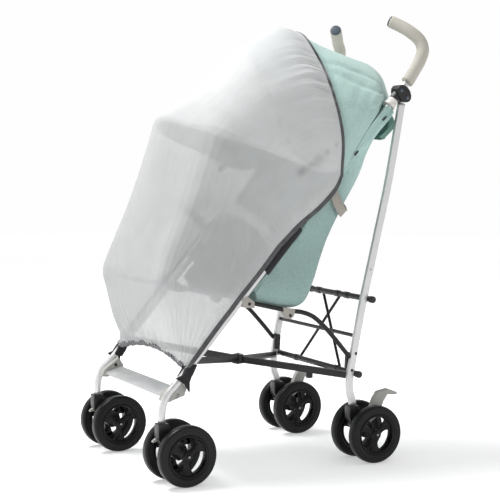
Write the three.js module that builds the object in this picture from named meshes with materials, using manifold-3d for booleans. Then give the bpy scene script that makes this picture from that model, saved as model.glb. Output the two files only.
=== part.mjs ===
import * as THREE from 'three';
import Module from 'manifold-3d';

const wasm = await Module();
wasm.setup();

// Driving dimensions in mm. X runs across the stroller, Y towards the handles, Z up.

// Wheels
const WHEEL_R = 70;
const RIM_R = 46;
const TYRE_W = 26;
const FLAT_DEPTH = 0.6;
const HUB_R = 12;
const WEB_W = 12;
const FRONT_X = 197;
const REAR_X = 185.4;
const PAIR_X = 40;
const WHEELBASE = 502.6;
const GAP = 0.3;

// Front tubes: one bend low down, then straight up to the grips
const TUBE_X = 195;
const TUBE_R = 8.5;
const TUBE_FOOT = { y: 0, z: 231 };
const TUBE_TOP = { y: 600, z: 912 };
const TUBE_LEN = Math.hypot(TUBE_TOP.y - TUBE_FOOT.y, TUBE_TOP.z - TUBE_FOOT.z);
const TUBE_DIR = { y: (TUBE_TOP.y - TUBE_FOOT.y) / TUBE_LEN, z: (TUBE_TOP.z - TUBE_FOOT.z) / TUBE_LEN };
const PAD_R = 10.5;

// Rear legs
const LEG_X = 188;
const LEG_HALF_X = 5.5;
const LEG_HALF_Y = 9;

// Cloth
const NET_T = 1.2;
const HOOD_T = 1.6;
const SEAT_T = 2;
const NET_ROWS = 30;
const NET_COLS = 30;
const BIND_W = 11;
const BIND_T = 2.6;
const FOOT_BAND_W = 8;

const FULL_TURN = Math.PI * 2;

const group = new THREE.Group();
group.name = 'stroller_mosquito_net';

const COLOURS = {
  net: ['#d9dcde', 0.85, 0],
  binding: ['#6e6e73', 0.8, 0],
  mint: ['#b2cdc7', 0.9, 0],
  visor: ['#cfdcd9', 0.9, 0],
  pocket: ['#5a877a', 0.9, 0],
  taupe: ['#a5a096', 0.75, 0],
  bumper: ['#dcdedd', 0.8, 0],
  black: ['#29292b', 0.6, 0],
  strap: ['#1f1f21', 0.85, 0],
  tyre: ['#323437', 0.85, 0],
  silver: ['#d2d3d3', 0.35, 0.9],
  plate: ['#bdbfc0', 0.4, 0.8],
  grey: ['#aaa8a2', 0.6, 0],
  beige: ['#cfcbc3', 0.6, 0],
  foam: ['#c3c1b8', 0.85, 0],
  cap: ['#464b55', 0.5, 0],
};

const vec = (x, y, z) => new THREE.Vector3(x, y, z);

// A closed body from shared points and triangles, turned so that its faces point outwards
function solid(points, triangles) {
  let volume = 0;
  const cross = new THREE.Vector3();
  for (const [a, b, c] of triangles) {
    volume += cross.crossVectors(points[b], points[c]).dot(points[a]);
  }
  const ordered = volume < 0 ? triangles.map(([a, b, c]) => [a, c, b]) : triangles;
  const vertProperties = new Float32Array(points.flatMap((p) => [p.x, p.y, p.z]));
  const triVerts = new Uint32Array(ordered.flat());
  return new wasm.Manifold(new wasm.Mesh({ numProp: 3, vertProperties, triVerts }));
}

// Adds one body to the group as a named mesh with its own material
function addNode(name, body, colour) {
  const mesh = body.getMesh();
  const geometry = new THREE.BufferGeometry();
  geometry.setAttribute('position', new THREE.BufferAttribute(new Float32Array(mesh.vertProperties), 3));
  geometry.setIndex(new THREE.BufferAttribute(new Uint32Array(mesh.triVerts), 1));
  geometry.computeVertexNormals();
  const [hex, roughness, metalness] = COLOURS[colour];
  const material = new THREE.MeshStandardMaterial({ color: hex, roughness, metalness });
  material.name = colour;
  const node = new THREE.Mesh(geometry, material);
  node.name = name;
  group.add(node);
}

// Builds the near body and its mirror image on the far side
function addPair(name, body, colour) {
  addNode(name + '_near', body, colour);
  addNode(name + '_far', body.mirror([1, 0, 0]), colour);
}

// Ellipse outline for a swept section
function oval(halfSide, halfUp, count) {
  const outline = [];
  for (let i = 0; i < count; i += 1) {
    const angle = (FULL_TURN * (i + 0.5)) / count;
    outline.push([halfSide * Math.cos(angle), halfUp * Math.sin(angle)]);
  }
  return outline;
}

// Sweeps an outline along a path; the first outline axis stays as near to side as it can
function sweep(path, outline, side = vec(1, 0, 0), scales = null) {
  const points = [];
  const triangles = [];
  const count = outline.length;
  path.forEach((centre, i) => {
    const before = path[Math.max(i - 1, 0)];
    const after = path[Math.min(i + 1, path.length - 1)];
    const along = after.clone().sub(before).normalize();
    const across = side.clone().addScaledVector(along, -side.dot(along)).normalize();
    const lift = along.clone().cross(across);
    const scale = scales ? scales[i] : 1;
    for (const [u, v] of outline) {
      points.push(centre.clone().addScaledVector(across, u * scale).addScaledVector(lift, v * scale));
    }
  });
  for (let i = 0; i < path.length - 1; i += 1) {
    for (let j = 0; j < count; j += 1) {
      const next = (j + 1) % count;
      const low = i * count;
      const high = low + count;
      triangles.push([low + j, low + next, high + next]);
      triangles.push([low + j, high + next, high + j]);
    }
  }
  const last = (path.length - 1) * count;
  for (let j = 1; j < count - 1; j += 1) {
    triangles.push([0, j + 1, j]);
    triangles.push([last, last + j, last + j + 1]);
  }
  return solid(points, triangles);
}

// Smooth path through a few named points
function smoothPath(points, steps) {
  return new THREE.CatmullRomCurve3(points, false, 'centripetal').getSpacedPoints(steps);
}

function bar(from, to, halfSide, halfUp = halfSide, count = 10) {
  return sweep([from, to], oval(halfSide, halfUp, count), from.x === to.x ? vec(1, 0, 0) : vec(0, 0, 1));
}

// Prism of a Y-Z outline between two X stations
function prismX(outline, fromX, toX) {
  const points = [];
  const triangles = [];
  const count = outline.length;
  const contour = outline.map(([y, z]) => new THREE.Vector2(y, z));
  for (const x of [fromX, toX]) {
    for (const [y, z] of outline) {
      points.push(vec(x, y, z));
    }
  }
  for (let j = 0; j < count; j += 1) {
    const next = (j + 1) % count;
    triangles.push([j, next, count + next]);
    triangles.push([j, count + next, count + j]);
  }
  const turn = THREE.ShapeUtils.isClockWise(contour) ? -1 : 1;
  for (const [a, b, c] of THREE.ShapeUtils.triangulateShape(contour, [])) {
    const flip = turn > 0;
    triangles.push(flip ? [a, c, b] : [a, b, c]);
    triangles.push(flip ? [count + a, count + b, count + c] : [count + a, count + c, count + b]);
  }
  return solid(points, triangles);
}

function discX(centreX, centreY, centreZ, radius, halfWidth, count = 16) {
  return bar(
    vec(centreX - halfWidth, centreY, centreZ),
    vec(centreX + halfWidth, centreY, centreZ),
    radius,
    radius,
    count,
  );
}

function ovalPlate(centre, halfLong, halfShort, tilt, fromX, toX, count = 14) {
  const outline = [];
  for (let i = 0; i < count; i += 1) {
    const angle = (FULL_TURN * i) / count;
    const along = halfLong * Math.cos(angle);
    const across = halfShort * Math.sin(angle);
    const y = centre.y + along * Math.cos(tilt) - across * Math.sin(tilt);
    const z = centre.z + along * Math.sin(tilt) + across * Math.cos(tilt);
    outline.push([y, z]);
  }
  return prismX(outline, fromX, toX);
}

// Point beside a front tube: y picks the place on its axis, offset is square to it, forwards and up
function besideTube(y, offset, x) {
  const z = TUBE_FOOT.z + ((y - TUBE_FOOT.y) * TUBE_DIR.z) / TUBE_DIR.y;
  return vec(x, y - offset * TUBE_DIR.z, z + offset * TUBE_DIR.y);
}

// Unit normals of a grid of points
function gridNormals(grid, closed) {
  const rows = grid.length;
  return grid.map((row, i) => row.map((point, j) => {
    const up = closed ? grid[(i + 1) % rows][j] : grid[Math.min(i + 1, rows - 1)][j];
    const down = closed ? grid[(i + rows - 1) % rows][j] : grid[Math.max(i - 1, 0)][j];
    const right = row[Math.min(j + 1, row.length - 1)];
    const left = row[Math.max(j - 1, 0)];
    return up.clone().sub(down).cross(right.clone().sub(left)).normalize();
  }));
}

// A sheet of even thickness round a grid of points; closed joins the last row to the first
function sheet(grid, thickness, closed = false) {
  const rows = grid.length;
  const cols = grid[0].length;
  const normals = gridNormals(grid, closed);
  const points = [];
  for (const sign of [1, -1]) {
    grid.forEach((row, i) => row.forEach((point, j) => {
      points.push(point.clone().addScaledVector(normals[i][j], (sign * thickness) / 2));
    }));
  }
  const triangles = [];
  const top = (i, j) => (i % rows) * cols + j;
  const under = (i, j) => rows * cols + (i % rows) * cols + j;
  const quad = (a, b, c, d) => {
    triangles.push([a, b, c]);
    triangles.push([a, c, d]);
  };
  const lastRow = closed ? rows : rows - 1;
  for (let i = 0; i < lastRow; i += 1) {
    for (let j = 0; j < cols - 1; j += 1) {
      quad(top(i, j), top(i + 1, j), top(i + 1, j + 1), top(i, j + 1));
      quad(under(i, j), under(i, j + 1), under(i + 1, j + 1), under(i + 1, j));
    }
    quad(top(i, 0), under(i, 0), under(i + 1, 0), top(i + 1, 0));
    quad(top(i, cols - 1), top(i + 1, cols - 1), under(i + 1, cols - 1), under(i, cols - 1));
  }
  if (!closed) {
    for (let j = 0; j < cols - 1; j += 1) {
      quad(top(0, j), top(0, j + 1), under(0, j + 1), under(0, j));
      quad(top(rows - 1, j), under(rows - 1, j), under(rows - 1, j + 1), top(rows - 1, j + 1));
    }
  }
  return solid(points, triangles);
}

// Cloth surface through a table of cross ribs. Each rib runs from the near edge over the crown to the
// far edge, and the far half mirrors the near half.
function clothSurface(table) {
  const ribs = table.map(({ near, crown }) => {
    const half = near.map(([x, y, z]) => vec(x, y, z));
    const other = half.map((p) => vec(-p.x, p.y, p.z)).reverse();
    const middle = crown ? [vec(0, crown[0], crown[1])] : [];
    return new THREE.CatmullRomCurve3([...half, ...middle, ...other], false, 'centripetal');
  });
  return (s, t) => {
    const column = ribs.map((rib) => rib.getPoint(t));
    return new THREE.CatmullRomCurve3(column, false, 'centripetal').getPoint(s);
  };
}

function clothGrid(surface, rows, cols, shift = null) {
  const grid = [];
  for (let i = 0; i <= rows; i += 1) {
    const row = [];
    for (let j = 0; j <= cols; j += 1) {
      row.push(surface(i / rows, j / cols));
    }
    grid.push(row);
  }
  if (shift) {
    const normals = gridNormals(grid, false);
    grid.forEach((row, i) => row.forEach((point, j) => {
      point.addScaledVector(normals[i][j], shift(i / rows, j / cols));
    }));
  }
  return grid;
}

const smoothStep = (from, to, value) => {
  const ratio = Math.min(Math.max((value - from) / (to - from), 0), 1);
  return ratio * ratio * (3 - 2 * ratio);
};

// Net. Ribs from the hood edge, over the visor and the leg rest, down to the foot edge.
// near: edge, side, cheek and brow points (x, y, z); crown: (y, z) on the middle line.
const NET_RIBS = [
  { near: [[211, 406, 690], [213, 406, 778], [180, 404, 867], [108, 402, 966]], crown: [402, 1038] },
  { near: [[211, 391, 662], [211, 352, 765], [182, 345, 872], [109, 345, 977]], crown: [352, 1046] },
  { near: [[211, 348, 619], [208, 270, 735], [180, 240, 835], [106, 240, 937]], crown: [262, 1000] },
  { near: [[210, 296, 580], [206, 195, 705], [174, 150, 800], [100, 145, 868]], crown: [152, 902] },
  { near: [[211, 240, 530], [204, 150, 690], [180, 100, 772], [95, 62, 805]], crown: [38, 823] },
  { near: [[209, 190, 470], [199, 95, 575], [178, 36, 613], [93, 14, 630]], crown: [3, 638] },
  { near: [[207, 140, 414], [195, 35, 490], [175, -18, 500], [91, -26, 506]], crown: [-27, 508] },
  { near: [[207, 116, 386], [193, 16, 448], [174, -36, 453], [90, -37, 454]], crown: [-37, 454] },
  { near: [[206, 95, 362], [190, 12, 412], [170, -28, 405], [88, -30, 405]], crown: [-30, 405] },
  { near: [[205, 50, 308], [184, 12, 326], [158, -10, 328], [80, -8, 334]], crown: [-8, 336] },
  { near: [[204, 15, 263], [175, 14, 266], [130, 14, 274], [65, 15, 284]], crown: [15, 287] },
];
const FOOT_FOLDS = 7;
const FOOT_FOLD_DEPTH = 2.4;
const HOOD_FOLDS = 9;
const HOOD_FOLD_DEPTH = 1.6;
const SIDE_FOLD_DEPTH = 2;

// Height of the main folds over the smooth net: gathers above the foot edge, gathers by the hood
// edge at the brow, and slack bands that fan down the sides
function netFolds(s, t) {
  const across = Math.abs(t - 0.5) * 2;
  const rim = smoothStep(0, 0.06, t) * smoothStep(0, 0.06, 1 - t);
  const foot = smoothStep(0.72, 0.97, s);
  const footWave = Math.sin(FULL_TURN * FOOT_FOLDS * t + 1.3 * Math.sin(9 * t) + 2 * s);
  const brow = smoothStep(0.02, 0.08, s) * (1 - smoothStep(0.12, 0.3, s));
  const browPlace = Math.exp(-(((across - 0.38) / 0.22) ** 2));
  const browWave = Math.sin(FULL_TURN * HOOD_FOLDS * t + 5 * s);
  const side = smoothStep(0.15, 0.3, s) * (1 - smoothStep(0.6, 0.75, s));
  const sidePlace = smoothStep(0.5, 0.8, across);
  const sideWave = Math.sin(FULL_TURN * (2.2 * across + 2.6 * s));
  const folds = FOOT_FOLD_DEPTH * foot * footWave
    + HOOD_FOLD_DEPTH * brow * browPlace * browWave
    + SIDE_FOLD_DEPTH * side * sidePlace * sideWave;
  return folds * rim;
}

const netSurface = clothSurface(NET_RIBS);
const netGrid = clothGrid(netSurface, NET_ROWS, NET_COLS, netFolds);
addNode('net_cloth', sheet(netGrid, NET_T), 'net');

// Bands along the net edges. Each station holds an edge point and the way out of the cloth.
function edgeStation(surface, s, t) {
  const step = 0.01;
  const inS = Math.min(Math.max(s, step), 1 - step);
  const inT = Math.min(Math.max(t, step), 1 - step);
  const point = surface(s, t);
  const overS = surface(inS + step, inT).sub(surface(inS - step, inT)).normalize();
  const overT = surface(inS, inT + step).sub(surface(inS, inT - step)).normalize();
  return { point, overS, overT };
}

function outward(alongEdge, away) {
  return away.clone().addScaledVector(alongEdge, -away.dot(alongEdge)).normalize();
}

function bandRows(stations, gap, width, parts) {
  return stations.map(({ point, way }) => {
    const row = [];
    for (let k = 0; k <= parts; k += 1) {
      row.push(point.clone().addScaledVector(way, gap + (width * k) / parts));
    }
    return row;
  });
}

const BAND_GAP = 0.5;
const CORNER_FAN = 3;
const bandStations = [];

function addSide(t, forwards) {
  for (let i = 0; i <= NET_ROWS; i += 1) {
    const s = forwards ? i / NET_ROWS : 1 - i / NET_ROWS;
    const { point, overS, overT } = edgeStation(netSurface, s, t);
    const away = t === 0 ? overT.clone().negate() : overT;
    bandStations.push({ point, way: outward(overS, away) });
  }
}

function addFan(t) {
  const { point, overS, overT } = edgeStation(netSurface, 0, t);
  const side = outward(overS, t === 0 ? overT.clone().negate() : overT);
  const arch = outward(overT, overS.clone().negate());
  const [first, second] = t === 0 ? [side, arch] : [arch, side];
  for (let i = 1; i <= CORNER_FAN; i += 1) {
    const way = first.clone().lerp(second, i / (CORNER_FAN + 1)).normalize();
    bandStations.push({ point: point.clone(), way });
  }
}

addSide(0, false);
addFan(0);
for (let j = 0; j <= NET_COLS; j += 1) {
  const { point, overS, overT } = edgeStation(netSurface, 0, j / NET_COLS);
  bandStations.push({ point, way: outward(overT, overS.clone().negate()) });
}
addFan(1);
addSide(1, true);
addNode('net_binding', sheet(bandRows(bandStations, BAND_GAP, BIND_W, 1), BIND_T), 'binding');

// Foot elastic: a ruched casing along the foot edge
const FOOT_STATIONS = 40;
const RUCHES = 13;
const FOOT_INSET = 0.085;
const RUCHE_DEPTH = 1.1;
const footStations = [];
for (let j = 0; j <= FOOT_STATIONS; j += 1) {
  const t = FOOT_INSET + ((1 - 2 * FOOT_INSET) * j) / FOOT_STATIONS;
  const { point, overS, overT } = edgeStation(netSurface, 1, t);
  const way = outward(overT, overS);
  point.addScaledVector(way, RUCHE_DEPTH * (1 + Math.sin(FULL_TURN * RUCHES * t)));
  footStations.push({ point, way });
}
addNode('net_foot_elastic', sheet(bandRows(footStations, BAND_GAP, FOOT_BAND_W, 1), BIND_T), 'binding');

// Hood: from the rear hem over the crown to the front hoop
const HOOD_RIBS = [
  { near: [[172, 560, 840], [164, 568, 850], [142, 580, 858], [88, 625, 870]], crown: [656, 878] },
  { near: [[178, 544, 859], [168, 556, 882], [146, 566, 893], [90, 602, 914]], crown: [648, 930] },
  { near: [[204, 511, 834.5], [200, 516, 866], [164, 538, 905], [96, 578, 933]], crown: [612, 963] },
  { near: [[207.4, 478, 792], [204, 485, 850], [170, 493, 903], [102, 516, 955]], crown: [540, 983] },
  { near: [[207.4, 445, 744], [207, 445, 815], [174, 445, 890], [104, 448, 966]], crown: [465, 1006] },
  { near: [[207.4, 420, 706], [208, 418, 778], [175, 412, 862], [103, 410, 958]], crown: [405, 1030] },
  { near: [[206, 398, 700], [205, 360, 765], [175, 350, 864], [103, 345, 966]], crown: [345, 1037] },
  { near: [[203, 384, 696], [202, 290, 738], [173, 250, 832], [100, 245, 930]], crown: [262, 990] },
];
addNode('hood', sheet(clothGrid(clothSurface(HOOD_RIBS), 14, 20), HOOD_T), 'mint');

// Visor: from just before the hood front hoop to its own hoop over the child
function shiftRib({ near, crown }, dy, dz) {
  return {
    near: near.map(([x, y, z]) => [x, y + dy, z + dz]),
    crown: [crown[0] + dy, crown[1] + dz],
  };
}
const VISOR_RIBS = [
  shiftRib(HOOD_RIBS[HOOD_RIBS.length - 1], -1.8, -2.6),
  { near: [[203.5, 360, 697], [199, 262, 738], [166, 175, 806], [94, 148, 864]], crown: [150, 893] },
  { near: [[202, 338, 699], [190, 245, 737], [150, 128, 776], [84, 66, 800]], crown: [52, 812] },
];
addNode('visor', sheet(clothGrid(clothSurface(VISOR_RIBS), 6, 16), HOOD_T), 'visor');

// Seat: side panels hang from the front tubes and turn into the back and the seat bottom.
// tube: place and offset beside the front tube; rear: the edge where panel and back meet.
const SEAT_ROWS = [
  { tube: [545, 9, 205.9], rear: [560, 826], sag: 4 },
  { tube: [505, 12, 206.1], rear: [508, 765], sag: 10 },
  { tube: [445, 4, 204.9], rear: [475, 692], sag: 14 },
  { tube: [385, 4, 204.9], rear: [433, 622], sag: 16 },
  { tube: [338, 1, 204.9], rear: [392, 549], sag: 16 },
  { tube: [311, -9, 203], rear: [370, 496], sag: 14 },
  { tube: [270, -14, 191], rear: [352, 444], sag: 12 },
  { tube: [232, -14, 190], rear: [326, 394], sag: 10 },
  { tube: [205, -14, 189.5], rear: [292, 382.5], sag: 8 },
  { tube: [178, -13, 189], rear: [200, 401], sag: 6 },
];
const SEAT_EDGE_X = 181;
const PANEL_TURN = { offset: -13, x: 203.5 };
const seatTable = SEAT_ROWS.map(({ tube, rear, sag }, i) => {
  const edge = besideTube(tube[0], tube[1], tube[2]);
  const outside = tube[1] > PANEL_TURN.offset + 3;
  const turnOffset = outside ? PANEL_TURN.offset : tube[1] - 7;
  const turn = besideTube(tube[0], turnOffset, outside ? PANEL_TURN.x : tube[2] - 1);
  const [y, z] = rear;
  const underSeat = smoothStep(6.5, 8, i);
  const back = 1 - underSeat;
  return {
    near: [
      [edge.x, edge.y, edge.z],
      [turn.x, turn.y, turn.z],
      [SEAT_EDGE_X, y, z],
      [SEAT_EDGE_X - 22, y + 4 * back, z - 3 * underSeat],
      [90, y + sag * back * 0.8, z - sag * underSeat * 0.8],
    ],
    crown: [y + sag * back, z - sag * underSeat],
  };
});
addNode('seat', sheet(clothGrid(clothSurface(seatTable), 16, 24), SEAT_T), 'mint');

// Leg rest: a flat padded panel from the seat front to the place where the net breaks
const LEG_REST = { halfWidth: 165, rear: [199.6, 398], front: [-22, 440], thickness: 8 };
const restGrid = [];
for (let i = 0; i <= 4; i += 1) {
  const ratio = i / 4;
  const row = [];
  for (let j = 0; j <= 4; j += 1) {
    const x = LEG_REST.halfWidth * (1 - j / 2) * (1 - 0.06 * ratio ** 3);
    const y = LEG_REST.rear[0] + (LEG_REST.front[0] - LEG_REST.rear[0]) * ratio;
    const z = LEG_REST.rear[1] + (LEG_REST.front[1] - LEG_REST.rear[1]) * ratio;
    row.push(vec(x, y, z));
  }
  restGrid.push(row);
}
addNode('leg_rest', sheet(restGrid, LEG_REST.thickness), 'mint');

// Recline strap: from the near panel round the back of the seat to the far panel
const STRAP = { width: 24, thickness: 2, x: 207.2 };
const strapPath = [
  [STRAP.x, 384, 659],
  [STRAP.x, 405, 617],
  [STRAP.x - 11, 429, 602],
  [STRAP.x - 34, 444, 604],
  [90, 463, 620],
  [0, 469, 624],
];
const strapHalf = strapPath.map(([x, y, z]) => vec(x, y, z));
const strapFar = strapHalf.slice(0, -1).map((p) => vec(-p.x, p.y, p.z)).reverse();
const strapCurve = smoothPath([...strapHalf, ...strapFar], 36);
const strapGrid = strapCurve.map((point) => {
  const sideShare = smoothStep(170, 205, Math.abs(point.x));
  const slope = vec(0, 0.45, 0.89).lerp(vec(0, 0.5, 0.35), sideShare);
  slope.normalize();
  return [-0.5, 0.5].map((k) => point.clone().addScaledVector(slope, STRAP.width * k));
});
addNode('recline_strap', sheet(strapGrid, STRAP.thickness), 'taupe');

// Rear pocket: a darker panel bulging behind the hood
const POCKET_RIBS = [
  shiftRib(HOOD_RIBS[0], 0.2, -0.8),
  { near: [[168, 566, 806], [160, 590, 810], [135, 600, 814], [88, 622, 816]], crown: [650, 820] },
  { near: [[155, 548, 780], [140, 570, 777], [115, 585, 776], [80, 598, 776]], crown: [612, 778] },
];
addNode('rear_pocket', sheet(clothGrid(clothSurface(POCKET_RIBS), 6, 14), HOOD_T), 'pocket');

// Bumper bar across the seat
const bumperHalf = [
  vec(184.1, 250, 514.8),
  vec(178, 250, 515.2),
  vec(168, 222, 566),
  vec(150, 168, 606),
  vec(105, 142, 617),
];
const bumperFar = bumperHalf.map((p) => vec(-p.x, p.y, p.z)).reverse();
const bumperPath = smoothPath([...bumperHalf, vec(0, 132, 620), ...bumperFar], 20);
const bumper = sweep(bumperPath, oval(13, 13, 8), vec(0, 0, 1));
const BUMPER_END = TUBE_X - PAD_R - GAP;
const nearTrimmed = bumper.trimByPlane([-1, 0, 0], -BUMPER_END);
addNode('bumper_bar', nearTrimmed.trimByPlane([1, 0, 0], -BUMPER_END), 'bumper');

// Front tubes
const tubeTable = [[-43, 140], [-42.5, 160], [-40, 177], [-34, 193], [-23, 208], [-10, 221]];
function tubePath(extend = 0) {
  const low = tubeTable.map(([y, z]) => vec(TUBE_X, y, z));
  const top = besideTube(TUBE_TOP.y + extend, 0, TUBE_X);
  return [...low, besideTube(4, 0, TUBE_X), besideTube(300, 0, TUBE_X), top];
}
const frontTube = sweep(tubePath(), oval(TUBE_R, TUBE_R, 10));
const tubeRoom = sweep(tubePath(30), oval(TUBE_R + 2 * GAP, TUBE_R + 2 * GAP, 10));

// Rear legs
const legTable = [
  [590, 862],
  [555, 672],
  [524, 540],
  [511, 485],
  [488, 389],
  [473, 315],
  [459, 241],
  [452, 195],
  [454, 165],
  [460.5, 148],
  [460.5, 136.4],
];
const legPath = legTable.map(([y, z]) => vec(LEG_X, y, z));
const legRoomPath = [vec(LEG_X, 593, 880), ...legPath];
const rearLeg = sweep(legPath, oval(LEG_HALF_X, LEG_HALF_Y, 10));
const legRoom = sweep(legRoomPath, oval(LEG_HALF_X + 2 * GAP, LEG_HALF_Y + 2 * GAP, 10));
addPair('front_tube', frontTube, 'silver');
addPair('rear_leg', rearLeg, 'silver');

// Folding hubs near the grips: an oval plate and a clamp ring round the tube
const HUB = { y: 582, z: 884, halfLong: 23, halfShort: 16.5, tilt: -0.9, fromX: 182, toX: 213 };
const hubPlate = ovalPlate(HUB, HUB.halfLong, HUB.halfShort, HUB.tilt, HUB.fromX, HUB.toX);
const hubClamp = bar(besideTube(562, 0, TUBE_X), besideTube(584, 0, TUBE_X), 13, 13, 12);
addPair('hub', hubPlate.add(hubClamp).subtract(tubeRoom).subtract(legRoom), 'black');

// Pale collars round the tubes above the seat panel
const collar = bar(besideTube(553, 0, TUBE_X), besideTube(561.5, 0, TUBE_X), 13, 13, 12);
const collarSkirt = bar(besideTube(549, 0, TUBE_X), besideTube(553.5, 0, TUBE_X), 15, 15, 12);
addPair('collar', collar.add(collarSkirt).subtract(tubeRoom), 'beige');

// Foam grips and their end caps
const gripTable = [
  [195, 600.4, 912.5],
  [195, 606, 919],
  [195, 621, 941],
  [194, 638, 967],
  [191, 648, 992],
  [183, 645, 1014],
  [170, 630, 1033],
  [150, 614, 1049],
  [129, 597, 1062],
];
const GRIP_R = 15;
const gripPath = smoothPath(gripTable.map(([x, y, z]) => vec(x, y, z)), 14);
addPair('grip', sweep(gripPath, oval(GRIP_R, GRIP_R, 12)), 'foam');
const capEnd = gripPath[gripPath.length - 1];
const capWay = capEnd.clone().sub(gripPath[gripPath.length - 2]).normalize();
const capFrom = capEnd.clone().addScaledVector(capWay, GAP);
const capTo = capEnd.clone().addScaledVector(capWay, 4);
const capSection = oval(GRIP_R - 1, GRIP_R - 1, 12);
addPair('grip_cap', sweep([capFrom, capTo], capSection, vec(1, 0, 0), [1, 0.8]), 'cap');

// Arm pads: sleeves on the tubes
const pad = bar(besideTube(212, 0, TUBE_X), besideTube(298, 0, TUBE_X), PAD_R, PAD_R, 14);
addPair('arm_pad', pad.subtract(tubeRoom), 'strap');

// Seat rails with their brackets
const railTable = [[183, 397], [283, 374], [320, 368], [348, 357], [376, 335], [412, 298], [448, 258]];
const railPath = railTable.map(([y, z]) => vec(LEG_X, y, z));
const RAIL_R = 5.5;
const rail = sweep(railPath, oval(RAIL_R, RAIL_R, 10)).subtract(legRoom);
const railRoom = sweep(railPath, oval(RAIL_R + GAP, RAIL_R + GAP, 10));
addPair('seat_rail', rail.trimByPlane([0, -1, 0], -453), 'black');
const frontBracketOutline = [[148, 409], [160, 388], [184, 386], [184, 400], [165, 414]];
const frontBracket = prismX(frontBracketOutline, 180, 204);
addPair('front_bracket', frontBracket.subtract(tubeRoom).subtract(railRoom), 'taupe');
const rearBracketOutline = [[264, 383.2], [296, 376.4], [293, 362], [284, 354], [274, 356], [268, 366]];
const rearBracket = prismX(rearBracketOutline, 179, 196);
addPair('rear_bracket', rearBracket.subtract(railRoom), 'taupe');

// Lower folding arms: two flat arms that cross behind the seat
const lowerFront = vec(186, 44, 272);
const lowerRear = vec(179, 452, 209);
const armSection = [[-4, -8], [4, -8], [4, 8], [-4, 8]];
function crossArm(from, to, liftMiddle) {
  const middle = from.clone().lerp(to, 0.5);
  middle.z += liftMiddle;
  return sweep([from, middle, to], armSection, vec(0, 1, 0));
}
const armOne = crossArm(lowerFront, vec(-lowerRear.x, lowerRear.y, lowerRear.z), -4);
const armTwo = crossArm(vec(-lowerFront.x, lowerFront.y, lowerFront.z), lowerRear, -4);
const armBlock = bar(vec(0, 248, 226), vec(0, 248, 248), 14, 14, 12);
const farTubeRoom = tubeRoom.mirror([1, 0, 0]);
const farLegRoom = legRoom.mirror([1, 0, 0]);
const frameRoom = tubeRoom.add(farTubeRoom).add(legRoom).add(farLegRoom);
addNode('lower_cross', armOne.add(armTwo).add(armBlock).subtract(frameRoom), 'black');

// Rear bars across the legs, with end caps on the upper and lower ones
const UPPER_BAR = { y: 505.6, z: 391, radius: 7, half: 205 };
const MID_BAR = { y: 471.5, z: 303, radius: 4.5, half: LEG_X - LEG_HALF_X - GAP };
const LOW_BAR = { y: 470.9, z: 212, radius: 7, half: 203 };
function rearBar({ y, z, radius, half }) {
  return bar(vec(-half, y, z), vec(half, y, z), radius, radius, 10);
}
addNode('rear_bar_upper', rearBar(UPPER_BAR), 'black');
addNode('rear_bar_middle', rearBar(MID_BAR), 'black');
addNode('rear_bar_lower', rearBar(LOW_BAR), 'black');

// Thin crossed rods behind the upper and lower rear bars
const ROD_R = 3.6;
const ROD_GAP = 0.45;
const rodTop = { x: 45, y: UPPER_BAR.y + UPPER_BAR.radius + ROD_R + ROD_GAP, z: UPPER_BAR.z };
const rodFoot = { x: 98, y: LOW_BAR.y + LOW_BAR.radius + ROD_R + ROD_GAP, z: LOW_BAR.z };
function rod(sign) {
  const top = vec(-sign * rodTop.x, rodTop.y, rodTop.z);
  const foot = vec(sign * rodFoot.x, rodFoot.y, rodFoot.z);
  return bar(top, foot, ROD_R, ROD_R, 8);
}
addNode('rear_rods', rod(1).add(rod(-1)), 'black');

// Foot rest plate between the front tubes, with a bracket at each end
const plateOutline = [[-32, 193], [-28, 191], [14, 203], [14, 208], [10, 210], [-32, 198]];
const plate = prismX(plateOutline, -170, 170);
addNode('foot_plate', plate, 'plate');
const footBracketOutline = [[-40, 187], [-26, 185], [12, 197], [17, 212], [4, 231], [-34, 203]];
const footBracket = prismX(footBracketOutline, 170 + GAP, 197);
addPair('foot_bracket', footBracket.subtract(tubeRoom), 'grey');

// Corner straps that tie the net to the front tubes, each with two loose tails
const largest = (body) => body.decompose().sort((one, two) => two.volume() - one.volume())[0];
const netRoom = sheet(netGrid, NET_T + 2 * GAP);
const bindingRoom = sheet(bandRows(bandStations, 0, BIND_W + 2 * GAP + BAND_GAP, 1), BIND_T + 3 * GAP);
const footRoomRows = bandRows(footStations, 0, FOOT_BAND_W + 2 * GAP + BAND_GAP, 1);
const footRoom = sheet(footRoomRows, BIND_T + 2 * GAP);
const wrapOutline = [[0, 240], [12, 258], [26, 268], [38, 266], [28, 246], [18, 232], [4, 234]];
const tailsOutline = [[8, 246], [28, 250], [20, 228], [20, 206], [8, 224], [-12, 238]];
const strapWrap = prismX(wrapOutline, 183, 209);
const strapTails = prismX(tailsOutline, 200, 208);
const strapBody = strapWrap.add(strapTails).subtract(tubeRoom);
const bandRooms = bindingRoom.add(bindingRoom.translate([0, -GAP, -2 * GAP])).add(footRoom);
const freeStrap = strapBody.subtract(netRoom).subtract(bandRooms);
addPair('corner_strap', largest(freeStrap), 'strap');

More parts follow.
